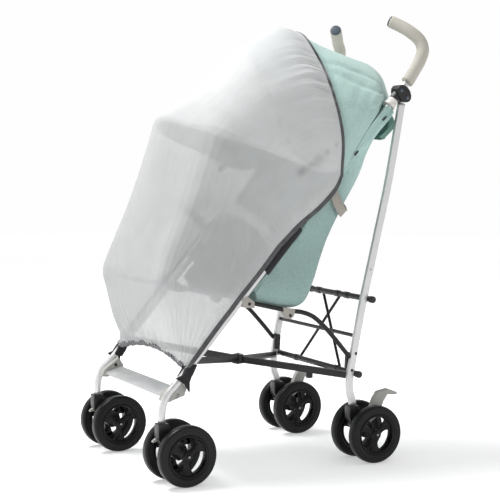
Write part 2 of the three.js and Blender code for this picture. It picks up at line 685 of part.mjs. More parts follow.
// Wheel housings between the wheels of each pair
const HOUSING_HALF = 12;
const HUB_HALF = TYRE_W / 2 - 1.5;
const BOSS_R = 10;
const BOSS_HALF = PAIR_X - HUB_HALF - GAP;
const frontOutline = [
  [-56, 139.7],
  [-31, 139.7],
  [-26, 112],
  [12, 86],
  [16, 70],
  [8, 56],
  [-8, 54],
  [-44, 84],
  [-56, 106],
];
const frontHousing = prismX(frontOutline, FRONT_X - HOUSING_HALF, FRONT_X + HOUSING_HALF);
const frontBoss = discX(FRONT_X, 0, WHEEL_R - FLAT_DEPTH, BOSS_R, BOSS_HALF, 12);
addPair('front_housing', frontHousing.add(frontBoss), 'black');
const rearOutline = [
  [449, 136],
  [475, 136],
  [482, 112],
  [516, 86],
  [518, 66],
  [508, 55],
  [494, 55],
  [458, 88],
  [449, 108],
];
const rearHousing = prismX(rearOutline, REAR_X - HOUSING_HALF, REAR_X + HOUSING_HALF);
const rearBoss = discX(REAR_X, WHEELBASE, WHEEL_R - FLAT_DEPTH, BOSS_R, BOSS_HALF, 12);
addPair('rear_housing', rearHousing.add(rearBoss), 'black');

// Wheels: a tyre and a spoked core in one body, standing on one of the tyre's flats
const WHEEL_SIDES = 22;
const TREAD_R = (WHEEL_R - FLAT_DEPTH) / Math.cos(Math.PI / WHEEL_SIDES);
const tyreProfile = [
  [RIM_R, -0.44],
  [TREAD_R - 7, -0.5],
  [TREAD_R, -0.22],
  [TREAD_R, 0.22],
  [TREAD_R - 7, 0.5],
  [RIM_R, 0.44],
];
const SPOKES = 3;
function wheelBody() {
  const points = [];
  const triangles = [];
  const count = tyreProfile.length;
  for (let i = 0; i < WHEEL_SIDES; i += 1) {
    const angle = (FULL_TURN * (i + 0.5)) / WHEEL_SIDES;
    for (const [radius, share] of tyreProfile) {
      points.push(vec(share * TYRE_W, radius * Math.sin(angle), -radius * Math.cos(angle)));
    }
  }
  for (let i = 0; i < WHEEL_SIDES; i += 1) {
    const next = (i + 1) % WHEEL_SIDES;
    for (let j = 0; j < count; j += 1) {
      const after = (j + 1) % count;
      triangles.push([i * count + j, i * count + after, next * count + after]);
      triangles.push([i * count + j, next * count + after, next * count + j]);
    }
  }
  let body = solid(points, triangles);
  for (let k = 0; k < SPOKES; k += 1) {
    const angle = 90 + (360 * k) / SPOKES;
    const spoke = wasm.Manifold.cube([WEB_W, RIM_R + 2, 16], true).translate([0, (RIM_R + 2) / 2, 0]);
    body = body.add(spoke.rotate([angle, 0, 0]));
  }
  return body.add(discX(0, 0, 0, HUB_R, HUB_HALF, 10));
}
const wheel = wheelBody();
const WHEEL_SPOTS = [
  { name: 'front_wheel_outer', x: FRONT_X + PAIR_X, y: 0 },
  { name: 'front_wheel_inner', x: FRONT_X - PAIR_X, y: 0 },
  { name: 'rear_wheel_outer', x: REAR_X + PAIR_X, y: WHEELBASE },
  { name: 'rear_wheel_inner', x: REAR_X - PAIR_X, y: WHEELBASE },
];
for (const { name, x, y } of WHEEL_SPOTS) {
  addPair(name, wheel.translate([x, y, WHEEL_R - FLAT_DEPTH]), 'tyre');
}

// Brake pedals behind the rear housings
const pedalOutline = [
  [490.2, 106.2],
  [510.2, 90.9],
  [534, 110],
  [546, 140],
  [557, 156],
  [584, 154],
  [585, 160],
  [560, 170],
  [531, 165],
  [520, 150],
  [508, 122],
];
addPair('brake_pedal', prismX(pedalOutline, 181, 197), 'grey');

// The frame starts at the middle of the footprint
const box = new THREE.Box3().setFromObject(group);
const middleY = (box.min.y + box.max.y) / 2;
for (const node of group.children) {
  node.geometry.translate(0, -middleY, -box.min.z);
}

export default group;
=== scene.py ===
"""Looks of a stroller mosquito net drawn over a plain folding stroller. Lengths are in metres,
tables in millimetres. X runs across the stroller, Y towards the handles, Z up. On every cloth,
t runs across it from the near side to the far side and s along it, both from 0 to 1."""

import math

import bmesh
import bpy
import numpy as np
from mathutils import Matrix, Vector
from mathutils.bvhtree import BVHTree


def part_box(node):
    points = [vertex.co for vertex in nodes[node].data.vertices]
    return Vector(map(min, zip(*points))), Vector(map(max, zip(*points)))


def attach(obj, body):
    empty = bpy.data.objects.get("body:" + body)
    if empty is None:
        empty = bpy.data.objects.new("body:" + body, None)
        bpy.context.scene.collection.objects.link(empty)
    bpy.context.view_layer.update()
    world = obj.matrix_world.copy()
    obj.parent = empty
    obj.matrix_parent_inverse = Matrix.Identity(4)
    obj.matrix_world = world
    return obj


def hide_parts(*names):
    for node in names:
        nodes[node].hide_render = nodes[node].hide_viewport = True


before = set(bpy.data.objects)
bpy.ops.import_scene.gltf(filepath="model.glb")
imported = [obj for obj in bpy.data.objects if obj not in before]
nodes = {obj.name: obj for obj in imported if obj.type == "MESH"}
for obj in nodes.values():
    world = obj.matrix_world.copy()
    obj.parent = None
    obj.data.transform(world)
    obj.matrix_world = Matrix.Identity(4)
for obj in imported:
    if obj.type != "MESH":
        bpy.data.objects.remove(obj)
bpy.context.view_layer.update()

# ---- sizes shared with the solids ----
MM = 0.001
TAU = 2 * math.pi
SIDES = (("near", 1), ("far", -1))
wheel_low, wheel_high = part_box("front_wheel_outer_near")
Y_SHIFT = (wheel_low.y + wheel_high.y) / 2
WHEEL_R = 0.0694
TYRE_W = 0.026
FRONT_X = 0.197
REAR_X = 0.1854
PAIR_X = 0.040
WHEELBASE = 0.5026
TUBE_X = 195
TUBE_FOOT = (0, 231)
TUBE_TOP = (600, 912)
LEG_X = 188


# ---- number helpers ----
def place(points):
    """Millimetre points of the tables, in metres in the part's frame."""
    array = np.asarray(points, float) * MM
    array[..., 1] += Y_SHIFT
    return array


def smooth_step(low, high, value):
    ratio = np.clip((value - low) / (high - low), 0, 1)
    return ratio * ratio * (3 - 2 * ratio)


def bell(value, middle, width):
    """Bell curve of height 1."""
    return np.exp(-(((value - middle) / width) ** 2))


def wave(turns):
    return np.sin(TAU * turns)


def circle(count):
    """Angles of even steps round a circle."""
    return np.linspace(0, TAU, count, endpoint=False)


def signed_power(value, power):
    """Power that keeps the sign. Below 1 it makes a round section squarer."""
    return np.sign(value) * np.abs(value) ** power


def unit(vectors, least=0.0):
    """Vectors of length 1. Shorter ones than least are left short."""
    return vectors / np.maximum(np.linalg.norm(vectors, axis=-1, keepdims=True), least)


def square_to(along, way):
    """The part of a way that is square to another, with length 1."""
    return unit(way - along * np.sum(way * along, -1, keepdims=True))


def run_length(path):
    """Length along a path up to each of its points."""
    return np.concatenate([[0], np.cumsum(np.linalg.norm(np.diff(path, axis=0), axis=-1))])


def at_lengths(spots, lengths, path):
    """Points of a path at given lengths along it."""
    return np.stack([np.interp(spots, lengths, path[:, k]) for k in range(3)], -1)


def mirror_x(points, sign=-1):
    out = np.array(points, float)
    out[..., 0] *= sign
    return out


# ---- materials ----
BAND_PITCH = 0.314  # metres between the bands of a wave texture of scale 1
NET_COLOUR = (0.70, 0.705, 0.71)


def feed(tree, socket, value):
    """Links a socket to an output, or sets its value."""
    if isinstance(value, bpy.types.NodeSocket):
        tree.links.new(value, socket)
    else:
        socket.default_value = value


def fill(tree, node, *sources, **values):
    """Feeds a node's first inputs with sources. Of the values, those with a capital are inputs
    and the others are properties."""
    for socket, value in zip(node.inputs, sources):
        feed(tree, socket, value)
    for key, value in values.items():
        if key[0].isupper():
            feed(tree, node.inputs[key.replace("_", " ")], value)
        else:
            setattr(node, key, value)
    return node


def add(tree, kind, *sources, **values):
    return fill(tree, tree.nodes.new("ShaderNode" + kind), *sources, **values)


def new_material(name, slot, colour, **values):
    mat = bpy.data.materials.new(name)
    mat.use_nodes = True
    mat.diffuse_color = (*colour, 1)
    shader = mat.node_tree.nodes["Principled BSDF"]
    fill(mat.node_tree, shader, Base_Color=(*colour, 1), **values)
    return mat, mat.node_tree, shader


def ranged(tree, value, low, high, **values):
    """Value mapped to a factor between low and high."""
    return add(tree, "MapRange", value, To_Min=low, To_Max=high, **values).outputs["Result"]


def noise_tone(tree, coord, scale, low, high, detail=3.0):
    noise = add(tree, "TexNoise", coord, Scale=scale, Detail=detail)
    return ranged(tree, noise.outputs["Fac"], low, high, From_Min=0.3, From_Max=0.7)


def multiply(tree, product, *factors):
    for factor in factors:
        product = add(tree, "Math", product, factor, operation="MULTIPLY").outputs[0]
    return product


def tinted(tree, colour, factor):
    """Colour scaled by a factor socket."""
    return add(tree, "VectorMath", colour, operation="SCALE", Scale=factor).outputs["Vector"]


def attribute(tree, name):
    return add(tree, "Attribute", attribute_name=name).outputs["Fac"]


def stretched(tree, uv, share):
    """Coordinates that draw a pattern out along V."""
    return add(tree, "Mapping", uv, Scale=(1.0, share, 1.0)).outputs["Vector"]


def weave_height(tree, coord, pitch):
    """Height of a plain weave whose threads lie pitch apart along the sheet's own U and V."""
    waves = [
        add(tree, "TexWave", coord, wave_type="BANDS", bands_direction=direction,
            Scale=BAND_PITCH / pitch, Distortion=0.6, Detail=1.0).outputs["Fac"]
        for direction in ("X", "Y")
    ]
    return add(tree, "Math", *waves, operation="MAXIMUM").outputs[0]


def bumped(tree, height, strength, distance, **values):
    bump = add(tree, "Bump", Height=height, Strength=strength, Distance=distance, **values)
    return bump.outputs["Normal"]


def cloth_material(name, slot, colour, pitch, heather, sheen, roughness=0.9, bump=0.5, folds=None):
    """Woven cloth. folds names a point attribute that scales the colour with painted light and
    shade, such as between its pleats.
    """
    mat, tree, shader = new_material(
        name, slot, colour, Roughness=roughness, Sheen_Weight=sheen, Specular_IOR_Level=0.25)
    coords = add(tree, "TexCoord").outputs
    uv = coords["UV"]
    weave = weave_height(tree, uv, pitch)
    slubs = noise_tone(tree, stretched(tree, uv, 0.22), 380.0, 1 - heather, 1 + heather)
    broad = noise_tone(tree, coords["Object"], 9.0, 0.96, 1.04, 2.0)
    factors = [slubs, broad, ranged(tree, weave, 0.86, 1.06)]
    # Painted light and shade from the point attribute, if one is named.
    if folds:
        factors.append(attribute(tree, folds))
    fill(tree, shader, Base_Color=tinted(tree, colour, multiply(tree, *factors)),
         Normal=bumped(tree, weave, bump, pitch * 0.35))
    return mat


def moulded_material(name, slot, colour, roughness, grain=900.0, strength=0.25, metallic=0.0,
                     wear=0.05, shine=0.5):
    """Plastic, foam or metal with a fine grain and a little wear."""
    mat, tree, shader = new_material(
        name, slot, colour, Roughness=roughness, Metallic=metallic, Specular_IOR_Level=shine)
    coords = add(tree, "TexCoord").outputs["Object"]
    broad = noise_tone(tree, coords, 30.0, 1 - wear, 1 + wear)
    fine = noise_tone(tree, coords, grain, 0.0, 1.0, 2.0)
    fill(tree, shader, Base_Color=tinted(tree, colour, broad),
         Normal=bumped(tree, fine, strength, 0.0002),
         Roughness=noise_tone(tree, coords, 60.0, roughness - 0.06, roughness + 0.08))
    return mat


def net_material():
    """Fine sheer mesh: threads that catch and pass light, with open gaps between them. The
    attribute cover says how closely the threads lie, which is less where the net is stretched,
    another attribute paints the threads darker in the lower part as painted shade, and the
    attribute gather how deeply the net is drawn into creases."""
    mat, tree, shader = new_material(
        "net_mesh", "net", NET_COLOUR, Roughness=0.8, Specular_IOR_Level=0.2)
    coords = add(tree, "TexCoord").outputs
    uv = coords["UV"]
    weave = weave_height(tree, uv, 0.0012)
    density = noise_tone(tree, coords["Object"], 26.0, 0.97, 1.03, 2.0)
    lines = noise_tone(tree, stretched(tree, uv, 0.05), 160.0, 0.97, 1.03, 2.0)
    # The threads' tone carries painted shade in the net's lower part.
    tone = multiply(tree, density, lines, attribute(tree, "yarn_painted_shade"))
    creases = noise_tone(tree, stretched(tree, uv, 0.10), 95.0, 0.0, 1.0, 1.5)
    drawn = bumped(tree, multiply(tree, creases, attribute(tree, "gather")), 1.0, 0.0035)
    fill(tree, shader, Base_Color=tinted(tree, NET_COLOUR, tone),
         Normal=bumped(tree, weave, 0.35, 0.0003, Normal=drawn))
    through = add(tree, "BsdfTranslucent", Color=(0.64, 0.64, 0.645, 1))
    thread = add(tree, "MixShader", 0.22, shader.outputs[0], through.outputs[0])
    gaps = add(tree, "BsdfTransparent")
    share = multiply(tree, ranged(tree, weave, 0.62, 1.12), attribute(tree, "cover"))
    surface = add(tree, "MixShader", share, gaps.outputs[0], thread.outputs[0])
    tree.links.new(surface.outputs[0], tree.nodes["Material Output"].inputs["Surface"])
    return mat


NET = net_material()
# name, slot, colour, pitch of the weave, heather, sheen
RUCHED = cloth_material(
    "ruched_elastic", "binding", (0.15, 0.15, 0.158), 0.0009, 0.25, 0.1, folds="painted_shading")
MINT = cloth_material("mint_cloth", "seat_fabric", (0.40, 0.555, 0.52), 0.0010, 0.10, 0.2)
# The mint cloth painted darker as shade on the seat's side panel; a point attribute lightens its
# upper part back towards the mint.
SHADED_SEAT_CLOTH = cloth_material(
    "seat_cloth_painted_shade", "seat_fabric", (0.27, 0.385, 0.365), 0.0010, 0.12, 0.15, folds="painted_shading")
MINT_DARK = cloth_material("mint_trim", "seat_fabric", (0.20, 0.34, 0.31), 0.0010, 0.10, 0.2)
THREAD = cloth_material("pale_thread", "binding", (0.30, 0.30, 0.31), 0.0008, 0.1, 0.1)
VISOR = cloth_material("visor_cloth", "visor_fabric", (0.74, 0.80, 0.79), 0.0010, 0.08, 0.2)
# The pocket's cloth is painted dark, as the shade behind the hood and seat back.
POCKET = cloth_material("pocket_cloth_painted_shade", "pocket_fabric", (0.10, 0.235, 0.19), 0.0010, 0.12, 0.2)
WEBBING = cloth_material("webbing", "webbing", (0.36, 0.335, 0.30), 0.0016, 0.10, 0.1, 0.8, 0.8)
BUMPER = cloth_material("bumper_cover", "bumper_fabric", (0.72, 0.74, 0.73), 0.0012, 0.06, 0.2)
STRAP = cloth_material(
    "dark_strap", "black_fabric", (0.018, 0.018, 0.02), 0.0013, 0.2, 0.1, 0.85, 0.8)
# name, slot, colour, roughness, grain, strength of the grain, metallic, wear
BLACK = moulded_material("black_plastic", "black_plastic", (0.010, 0.010, 0.011), 0.34, shine=0.4)
BLACK_TUBE = moulded_material(
    "black_coat", "black_tube", (0.007, 0.007, 0.008), 0.32, 1400.0, 0.15, shine=0.35)
TYRE = moulded_material("tyre_foam", "tyre", (0.005, 0.005, 0.006), 0.36, 1100.0, 0.3, shine=0.22)
CORE = moulded_material("wheel_core", "tyre", (0.004, 0.004, 0.004), 0.26, shine=0.2)
GREY = moulded_material("grey_plastic", "grey_plastic", (0.34, 0.335, 0.315), 0.5)
TAUPE = moulded_material("taupe_plastic", "grey_plastic", (0.33, 0.31, 0.28), 0.5)
BEIGE = moulded_material("beige_plastic", "beige_plastic", (0.62, 0.60, 0.57), 0.5)
CLIP = moulded_material("clip_plastic", "black_plastic", (0.16, 0.155, 0.16), 0.5)
CAP = moulded_material("cap_plastic", "cap_plastic", (0.055, 0.075, 0.10), 0.4)
FOAM = moulded_material("grip_foam", "foam", (0.46, 0.44, 0.39), 0.85, 1500.0, 0.5, 0.0, 0.04)
BOLT = moulded_material("bolt_steel", "black_plastic", (0.32, 0.33, 0.34), 0.35, 900.0, 0.1, 0.9)
SILVER = moulded_material("satin_tube", "tube", (0.63, 0.63, 0.63), 0.36, 700.0, 0.08, 0.75, 0.03)
PLATE = moulded_material("brushed_plate", "plate", (0.47, 0.475, 0.48), 0.42, 500.0, 0.12, 0.6)


# ---- mesh helpers ----
def new_object(name, data):
    thing = bpy.data.objects.new(name, data)
    bpy.context.scene.collection.objects.link(thing)
    return thing


def declared(piece, mat, replaces=()):
    """Gives a piece its material and body, and hides the solids it stands for."""
    piece.data.materials.append(mat)
    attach(piece, "root")
    if replaces:
        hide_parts(*replaces)
    return piece


def make_piece(name, points, faces, mat, uvs=None, replaces=(), closed=True):
    """A visible piece. The faces of a closed one are turned outwards."""
    mesh = bpy.data.meshes.new(name)
    mesh.from_pydata([tuple(p) for p in points], [], faces)
    if uvs is not None:
        layer = mesh.uv_layers.new(name="UVMap")
        corners = np.zeros(len(mesh.loops), np.int64)
        mesh.loops.foreach_get("vertex_index", corners)
        layer.data.foreach_set("uv", np.asarray(uvs, np.float32)[corners].ravel())
    mesh.polygons.foreach_set("use_smooth", [True] * len(mesh.polygons))
    if closed:
        shape = bmesh.new()
        shape.from_mesh(mesh)
        bmesh.ops.recalc_face_normals(shape, faces=shape.faces)
        shape.to_mesh(mesh)
        shape.free()
    mesh.update()
    return declared(new_object(name, mesh), mat, replaces)


def round_edges(piece, width):
    bevel = piece.modifiers.new("round_edges", "BEVEL")
    bevel.width = width
    bevel.segments = 3
    bevel.limit_method = "ANGLE"
    bevel.angle_limit = math.radians(30)
    bevel.harden_normals = True
    return piece


def soften_angles(piece, degrees):
    """Keeps the edges sharp where the form turns hard."""
    piece.data.set_sharp_from_angle(angle=math.radians(degrees))
    return piece


def write_attribute(piece, name, values):
    """Writes one value for each point of a piece."""
    layer = piece.data.attributes.new(name, "FLOAT", "POINT")
    layer.data.foreach_set("value", np.asarray(values).ravel().astype(np.float32))


def normals_of(grid):
    return unit(np.cross(np.gradient(grid, axis=0), np.gradient(grid, axis=1)), 1e-12)


def cloth_uv(grid):
    """U and V of every grid point, as lengths along the cloth."""
    u, v = np.zeros(grid.shape[:2]), np.zeros(grid.shape[:2])
    u[:, 1:] = np.cumsum(np.linalg.norm(np.diff(grid, axis=1), axis=-1), axis=1)
    v[1:, :] = np.cumsum(np.linalg.norm(np.diff(grid, axis=0), axis=-1), axis=0)
    middle = u.shape[1] // 2
    u = u - u[:, middle : middle + 1]
    v = np.repeat(v[:, middle : middle + 1], u.shape[1], 1)
    return np.stack([u, v], -1).reshape(-1, 2)


def cloth_piece(name, grid, thickness, mat, replaces=()):
    """A thin closed sheet round a grid of points."""
    rows, cols = grid.shape[:2]
    size = rows * cols
    index = np.arange(size).reshape(rows, cols)
    faces = []
    for one, two in zip(index[:-1], index[1:]):
        cells = np.stack([one[:-1], two[:-1], two[1:], one[1:]], -1)
        faces += cells.tolist()
        faces += (cells[:, [0, 3, 2, 1]] + size).tolist()
        faces.append([one[0], one[0] + size, two[0] + size, two[0]])
        faces.append([one[-1], two[-1], two[-1] + size, one[-1] + size])
    first, last = index[0], index[-1]
    for j in range(cols - 1):
        faces.append([first[j], first[j + 1], first[j + 1] + size, first[j] + size])
        faces.append([last[j], last[j] + size, last[j + 1] + size, last[j + 1]])
    lift = normals_of(grid) * thickness / 2
    points = np.concatenate([(grid + lift).reshape(-1, 3), (grid - lift).reshape(-1, 3)])
    return make_piece(name, points, faces, mat, np.tile(cloth_uv(grid), (2, 1)), replaces)


def grid_cells(grid):
    """Points and cells of a grid, as lists."""
    index = np.arange(grid.shape[0] * grid.shape[1]).reshape(grid.shape[:2])
    cells = np.stack([index[:-1, :-1], index[1:, :-1], index[1:, 1:], index[:-1, 1:]], -1)
    return grid.reshape(-1, 3), cells.reshape(-1, 4).tolist()


def ring_cells(rows, cols, closed, start=0):
    """Faces between rings of points, and from the last ring to the first if closed."""
    index = start + np.arange(rows * cols).reshape(rows, cols)
    ahead = np.roll(index, -1, 0)
    cells = np.stack([index, np.roll(index, -1, 1), np.roll(ahead, -1, 1), ahead], -1)
    return cells[: rows if closed else rows - 1].reshape(-1, 4).tolist()


def loft(name, rings, mat, replaces=(), closed=False):
    """Skin over rings of points. rings has the shape (rings, points, 3)."""
    rings = np.asarray(rings, float)
    rows, cols = rings.shape[:2]
    faces = ring_cells(rows, cols, closed)
    if not closed:
        faces.append(list(range(cols - 1, -1, -1)))
        faces.append(list(range((rows - 1) * cols, rows * cols)))
    u = np.cumsum(np.linalg.norm(rings - np.roll(rings, 1, 1), axis=-1), axis=1)
    v = np.zeros((rows, cols))
    v[1:] = np.cumsum(np.linalg.norm(np.diff(rings, axis=0), axis=-1), axis=0)
    uv = np.stack([u, v], -1).reshape(-1, 2)
    return make_piece(name, rings.reshape(-1, 3), faces, mat, uv, replaces)


def catmull(points, at):
    """Centripetal curve through points along the first axis, at even shares of their count."""
    points = np.asarray(points, float)
    before = 2 * points[:1] - points[1:2]
    after = 2 * points[-1:] - points[-2:-1]
    padded = np.concatenate([before, points, after])
    count = len(points)
    out = []
    for value in np.atleast_1d(at):
        spot = value * (count - 1)
        k = min(int(math.floor(spot)), count - 2)
        w = spot - k
        p0, p1, p2, p3 = padded[k : k + 4]
        steps = np.diff(padded[k : k + 4], axis=0)
        gaps = np.sqrt(np.linalg.norm(steps, axis=-1, keepdims=True))
        d1 = np.where(gaps[1] < 1e-4, 1.0, gaps[1])
        d0 = np.where(gaps[0] < 1e-4, d1, gaps[0])
        d2 = np.where(gaps[2] < 1e-4, d1, gaps[2])
        t1 = ((p1 - p0) / d0 - (p2 - p0) / (d0 + d1) + (p2 - p1) / d1) * d1
        t2 = ((p2 - p1) / d1 - (p3 - p1) / (d1 + d2) + (p3 - p2) / d2) * d1
        c2 = -3 * p1 + 3 * p2 - 2 * t1 - t2
        c3 = 2 * p1 - 2 * p2 + t1 + t2
        out.append(p1 + t1 * w + c2 * w * w + c3 * w**3)
    return np.array(out)


def even_path(points, steps):
    """Points at even distances along the smooth curve through a table of points."""
    fine = catmull(np.array(points, float), np.linspace(0, 1, steps * 12))
    length = run_length(fine)
    return at_lengths(np.linspace(0, length[-1], steps), length, fine)


def both_halves(half):
    """A near half that ends on the middle plane, with its mirror image."""
    half = np.array(half, float)
    return np.concatenate([half, mirror_x(half)[-2::-1]])


def swept(name, path, half, mat, side=(1, 0, 0), count=28, ends=0.0, replaces=(), power=2.0):
    """Tube along a path. half is its half width or a pair, to the side and up. A higher power
    makes its section squarer, and ends rounds off its two ends."""
    half_side, half_up = np.broadcast_to(half, 2)
    along = unit(np.gradient(path, axis=0))
    across = square_to(along, np.broadcast_to(np.asarray(side, float), path.shape))
    lift = np.cross(along, across)
    u = signed_power(np.cos(circle(count)), 2 / power) * half_side
    v = signed_power(np.sin(circle(count)), 2 / power) * half_up
    rings = [p + np.outer(u, a) + np.outer(v, b) for p, a, b in zip(path, across, lift)]
    if ends:
        first, last = rings[0] - path[0], rings[-1] - path[-1]
        for share in (0.9, 0.7, 0.35, 0.0):
            turn = share * math.pi / 2
            scale = 1 - ends / max(half_side, half_up) * (1 - math.sin(turn))
            reach = ends * math.cos(turn)
            rings.insert(0, first * scale + path[0] - along[0] * reach)
            rings.append(last * scale + path[-1] + along[-1] * reach)
    return loft(name, rings, mat, replaces)


def bar_x(name, x0, x1, y, z, radius, mat, ends, replaces=()):
    """A round bar along X."""
    path = np.linspace(place([x0, y, z]), place([x1, y, z]), 8)
    return swept(name, path, radius * MM, mat, (0, 0, 1), 28, ends, replaces)


def from_node(node_name, mat, width):
    """A piece with the shape of a solid, its flat faces joined and its edges rounded."""
    node = nodes[node_name]
    shape = bmesh.new()
    shape.from_mesh(node.data)
    shape.transform(node.matrix_world)
    bmesh.ops.remove_doubles(shape, verts=shape.verts, dist=1e-5)
    bmesh.ops.dissolve_limit(
        shape, angle_limit=math.radians(1.5), verts=shape.verts, edges=shape.edges)
    bmesh.ops.recalc_face_normals(shape, faces=shape.faces)
    uv = shape.loops.layers.uv.new("UVMap")
    for face in shape.faces:
        weights = [abs(v) for v in face.normal]
        kept = [k for k in range(3) if k != weights.index(max(weights))]
        for corner in face.loops:
            corner[uv].uv = (corner.vert.co[kept[0]], corner.vert.co[kept[1]])
        face.smooth = True
    mesh = bpy.data.meshes.new(node_name + "_body")
    shape.to_mesh(mesh)
    shape.free()
    piece = declared(new_object(node_name + "_body", mesh), mat, [node_name])
    return round_edges(piece, width)


def block(name, outline, x0, x1, mat, width):
    """A plate with an outline of (y, z) table points between two X places."""
    count = len(outline)
    points = [place([x, y, z]) for x in (x0, x1) for y, z in outline]
    faces = [list(range(count)), list(range(count, 2 * count))]
    faces += [[k, (k + 1) % count, count + (k + 1) % count, count + k] for k in range(count)]
    return round_edges(make_piece(name, points, faces, mat), width)


STITCH_LENGTH = 0.0024
STITCH_PITCH = 0.0037
STITCH_HALF = 0.0003
STITCH_LIFT = 0.0002
STITCH_RINGS = ((-0.5, 0.35), (-0.3, 1.0), (0.3, 1.0), (0.5, 0.35))
STITCH_CORNERS = ((1, 0), (0, 1), (-1, 0), (0, -1))


def stitches(name, path, normals, mat):
    """A row of thread stitches along a path, lying on the cloth."""
    lengths = run_length(path)
    count = max(int(lengths[-1] / STITCH_PITCH), 2)
    centres = (np.arange(count) + 0.5) * lengths[-1] / count
    spots = at_lengths(centres, lengths, path)
    ways = unit(at_lengths(centres + 0.0005, lengths, path) - spots, 1e-9)
    lifts = unit(at_lengths(centres, lengths, normals), 1e-9)
    points = [
        spot + lift * STITCH_LIFT + way * STITCH_LENGTH * share
        + (side * a + lift * b) * STITCH_HALF * wide
        for spot, way, lift, side in zip(spots, ways, lifts, np.cross(ways, lifts))
        for share, wide in STITCH_RINGS
        for a, b in STITCH_CORNERS
    ]
    stitch = ring_cells(4, 4, False) + [[0, 1, 2, 3], [12, 13, 14, 15]]
    faces = [[16 * k + corner for corner in face] for k in range(count) for face in stitch]
    return make_piece(name, points, faces, mat)


# ---- cloth helpers ----
def cloth_surface(table, s_values, t_values):
    """Grid over cross ribs. Each rib lists its near half and its crown; the far half mirrors it."""
    ribs = []
    for near, crown in table:
        rib = np.concatenate([np.array(near, float), [[0, *crown]], mirror_x(near)[::-1]])
        ribs.append(catmull(rib, t_values))
    return catmull(np.array(ribs), s_values)


def draped(name, table, rows, cols, folds, thickness, mat, node_name):
    """A sheet over ribs. Returns its piece, its grid with folds, and its smooth grid."""
    s, t = np.linspace(0, 1, rows), np.linspace(0, 1, cols)
    smooth = cloth_surface(table, s, t)
    grid = smooth + normals_of(smooth) * folds(s[:, None], t[None, :])[..., None]
    return cloth_piece(name, place(grid), thickness, mat, [node_name]), grid, smooth


def line_on(grid, normals, lift, t=None, s=None, part=(0, 1)):
    """Line on a cloth along its length at one t, or across it at one s, with the normals."""
    last_row, last_col = grid.shape[0] - 1, grid.shape[1] - 1
    if s is None:
        rows = slice(int(part[0] * last_row), int(part[1] * last_row) + 1)
        where = (rows, int(round(t * last_col)))
    else:
        where = int(round(s * last_row))
    return place(grid[where] + normals[where] * lift), normals[where]


def declare_cloth(smooth):
    """Works out a sheet's width, length and area, the cut being as long and as wide as the cloth's
    longest lines; nothing is done with them.
    """
    grid = place(smooth)
    width = float(np.linalg.norm(np.diff(grid, axis=1), axis=-1).sum(1).max())
    length = float(np.linalg.norm(np.diff(grid, axis=0), axis=-1).sum(0).max())
    one = grid[1:, 1:] - grid[:-1, :-1]
    two = grid[1:, :-1] - grid[:-1, 1:]
    area = float(np.linalg.norm(np.cross(one, two), axis=-1).sum() / 2)
    area = min(max(area, 0.31 * width * length), 0.99 * width * length)


# ---- camera ----
CAMERA_AT = (2.77564, -1.19642, 0.72817)
CAMERA_AZIMUTH = math.radians(62.0)
CAMERA_ELEVATION = math.radians(4.101)
CAMERA_ROLL = math.radians(0.4585)
FOCAL_PIXELS = 1287.43
FRAME_PIXELS = 500.0
SENSOR = 36.0

back = Vector((
    math.sin(CAMERA_AZIMUTH) * math.cos(CAMERA_ELEVATION),
    -math.cos(CAMERA_AZIMUTH) * math.cos(CAMERA_ELEVATION),
    math.sin(CAMERA_ELEVATION),
))
level = Vector((math.cos(CAMERA_AZIMUTH), math.sin(CAMERA_AZIMUTH), 0))
upright = back.cross(level)
right = level * math.cos(CAMERA_ROLL) + upright * math.sin(CAMERA_ROLL)
up = upright * math.cos(CAMERA_ROLL) - level * math.sin(CAMERA_ROLL)
lens = bpy.data.cameras.new("camera")
lens.sensor_width = SENSOR
lens.lens = FOCAL_PIXELS / FRAME_PIXELS * SENSOR
lens.clip_end = 60
camera = new_object("camera", lens)
camera.matrix_world = Matrix((
    (right.x, up.x, back.x, CAMERA_AT[0]),
    (right.y, up.y, back.y, CAMERA_AT[1] + Y_SHIFT),
    (right.z, up.z, back.z, CAMERA_AT[2]),
    (0, 0, 0, 1),
))
bpy.context.scene.camera = camera

# ---- net ----
NET_RIBS = [
    ([[211, 406, 690], [213, 406, 778], [180, 404, 867], [108, 402, 966]], [402, 1038]),
    ([[211, 391, 662], [211, 352, 765], [182, 345, 872], [109, 345, 977]], [352, 1046]),
    ([[211, 348, 619], [208, 270, 735], [180, 240, 835], [106, 240, 937]], [262, 1000]),
    ([[210, 296, 580], [206, 195, 705], [174, 150, 800], [100, 145, 868]], [152, 902]),
    ([[211, 240, 530], [204, 150, 690], [180, 100, 772], [95, 62, 805]], [38, 823]),
    ([[209, 190, 470], [199, 95, 575], [178, 36, 613], [93, 14, 630]], [3, 638]),
    ([[207, 140, 414], [195, 35, 490], [175, -18, 500], [91, -26, 506]], [-27, 508]),
    ([[207, 116, 386], [193, 16, 448], [174, -36, 453], [90, -37, 454]], [-37, 454]),
    ([[206, 95, 362], [190, 12, 412], [170, -28, 405], [88, -30, 405]], [-30, 405]),
    ([[205, 50, 308], [184, 12, 326], [158, -10, 328], [80, -8, 334]], [-8, 336]),
    ([[204, 15, 263], [175, 14, 266], [130, 14, 274], [65, 15, 284]], [15, 287]),
]
NET_ROWS = 230
NET_COLS = 300
RIM_RIB = 4  # the rib on the visor's rim
RIM_SPREAD = 0.14  # how far the two added ribs lie from it


def between(first, second, share):
    """Rib at a share of the way from one rib to the next."""
    return tuple(np.array(a) * (1 - share) + np.array(b) * share for a, b in zip(first, second))


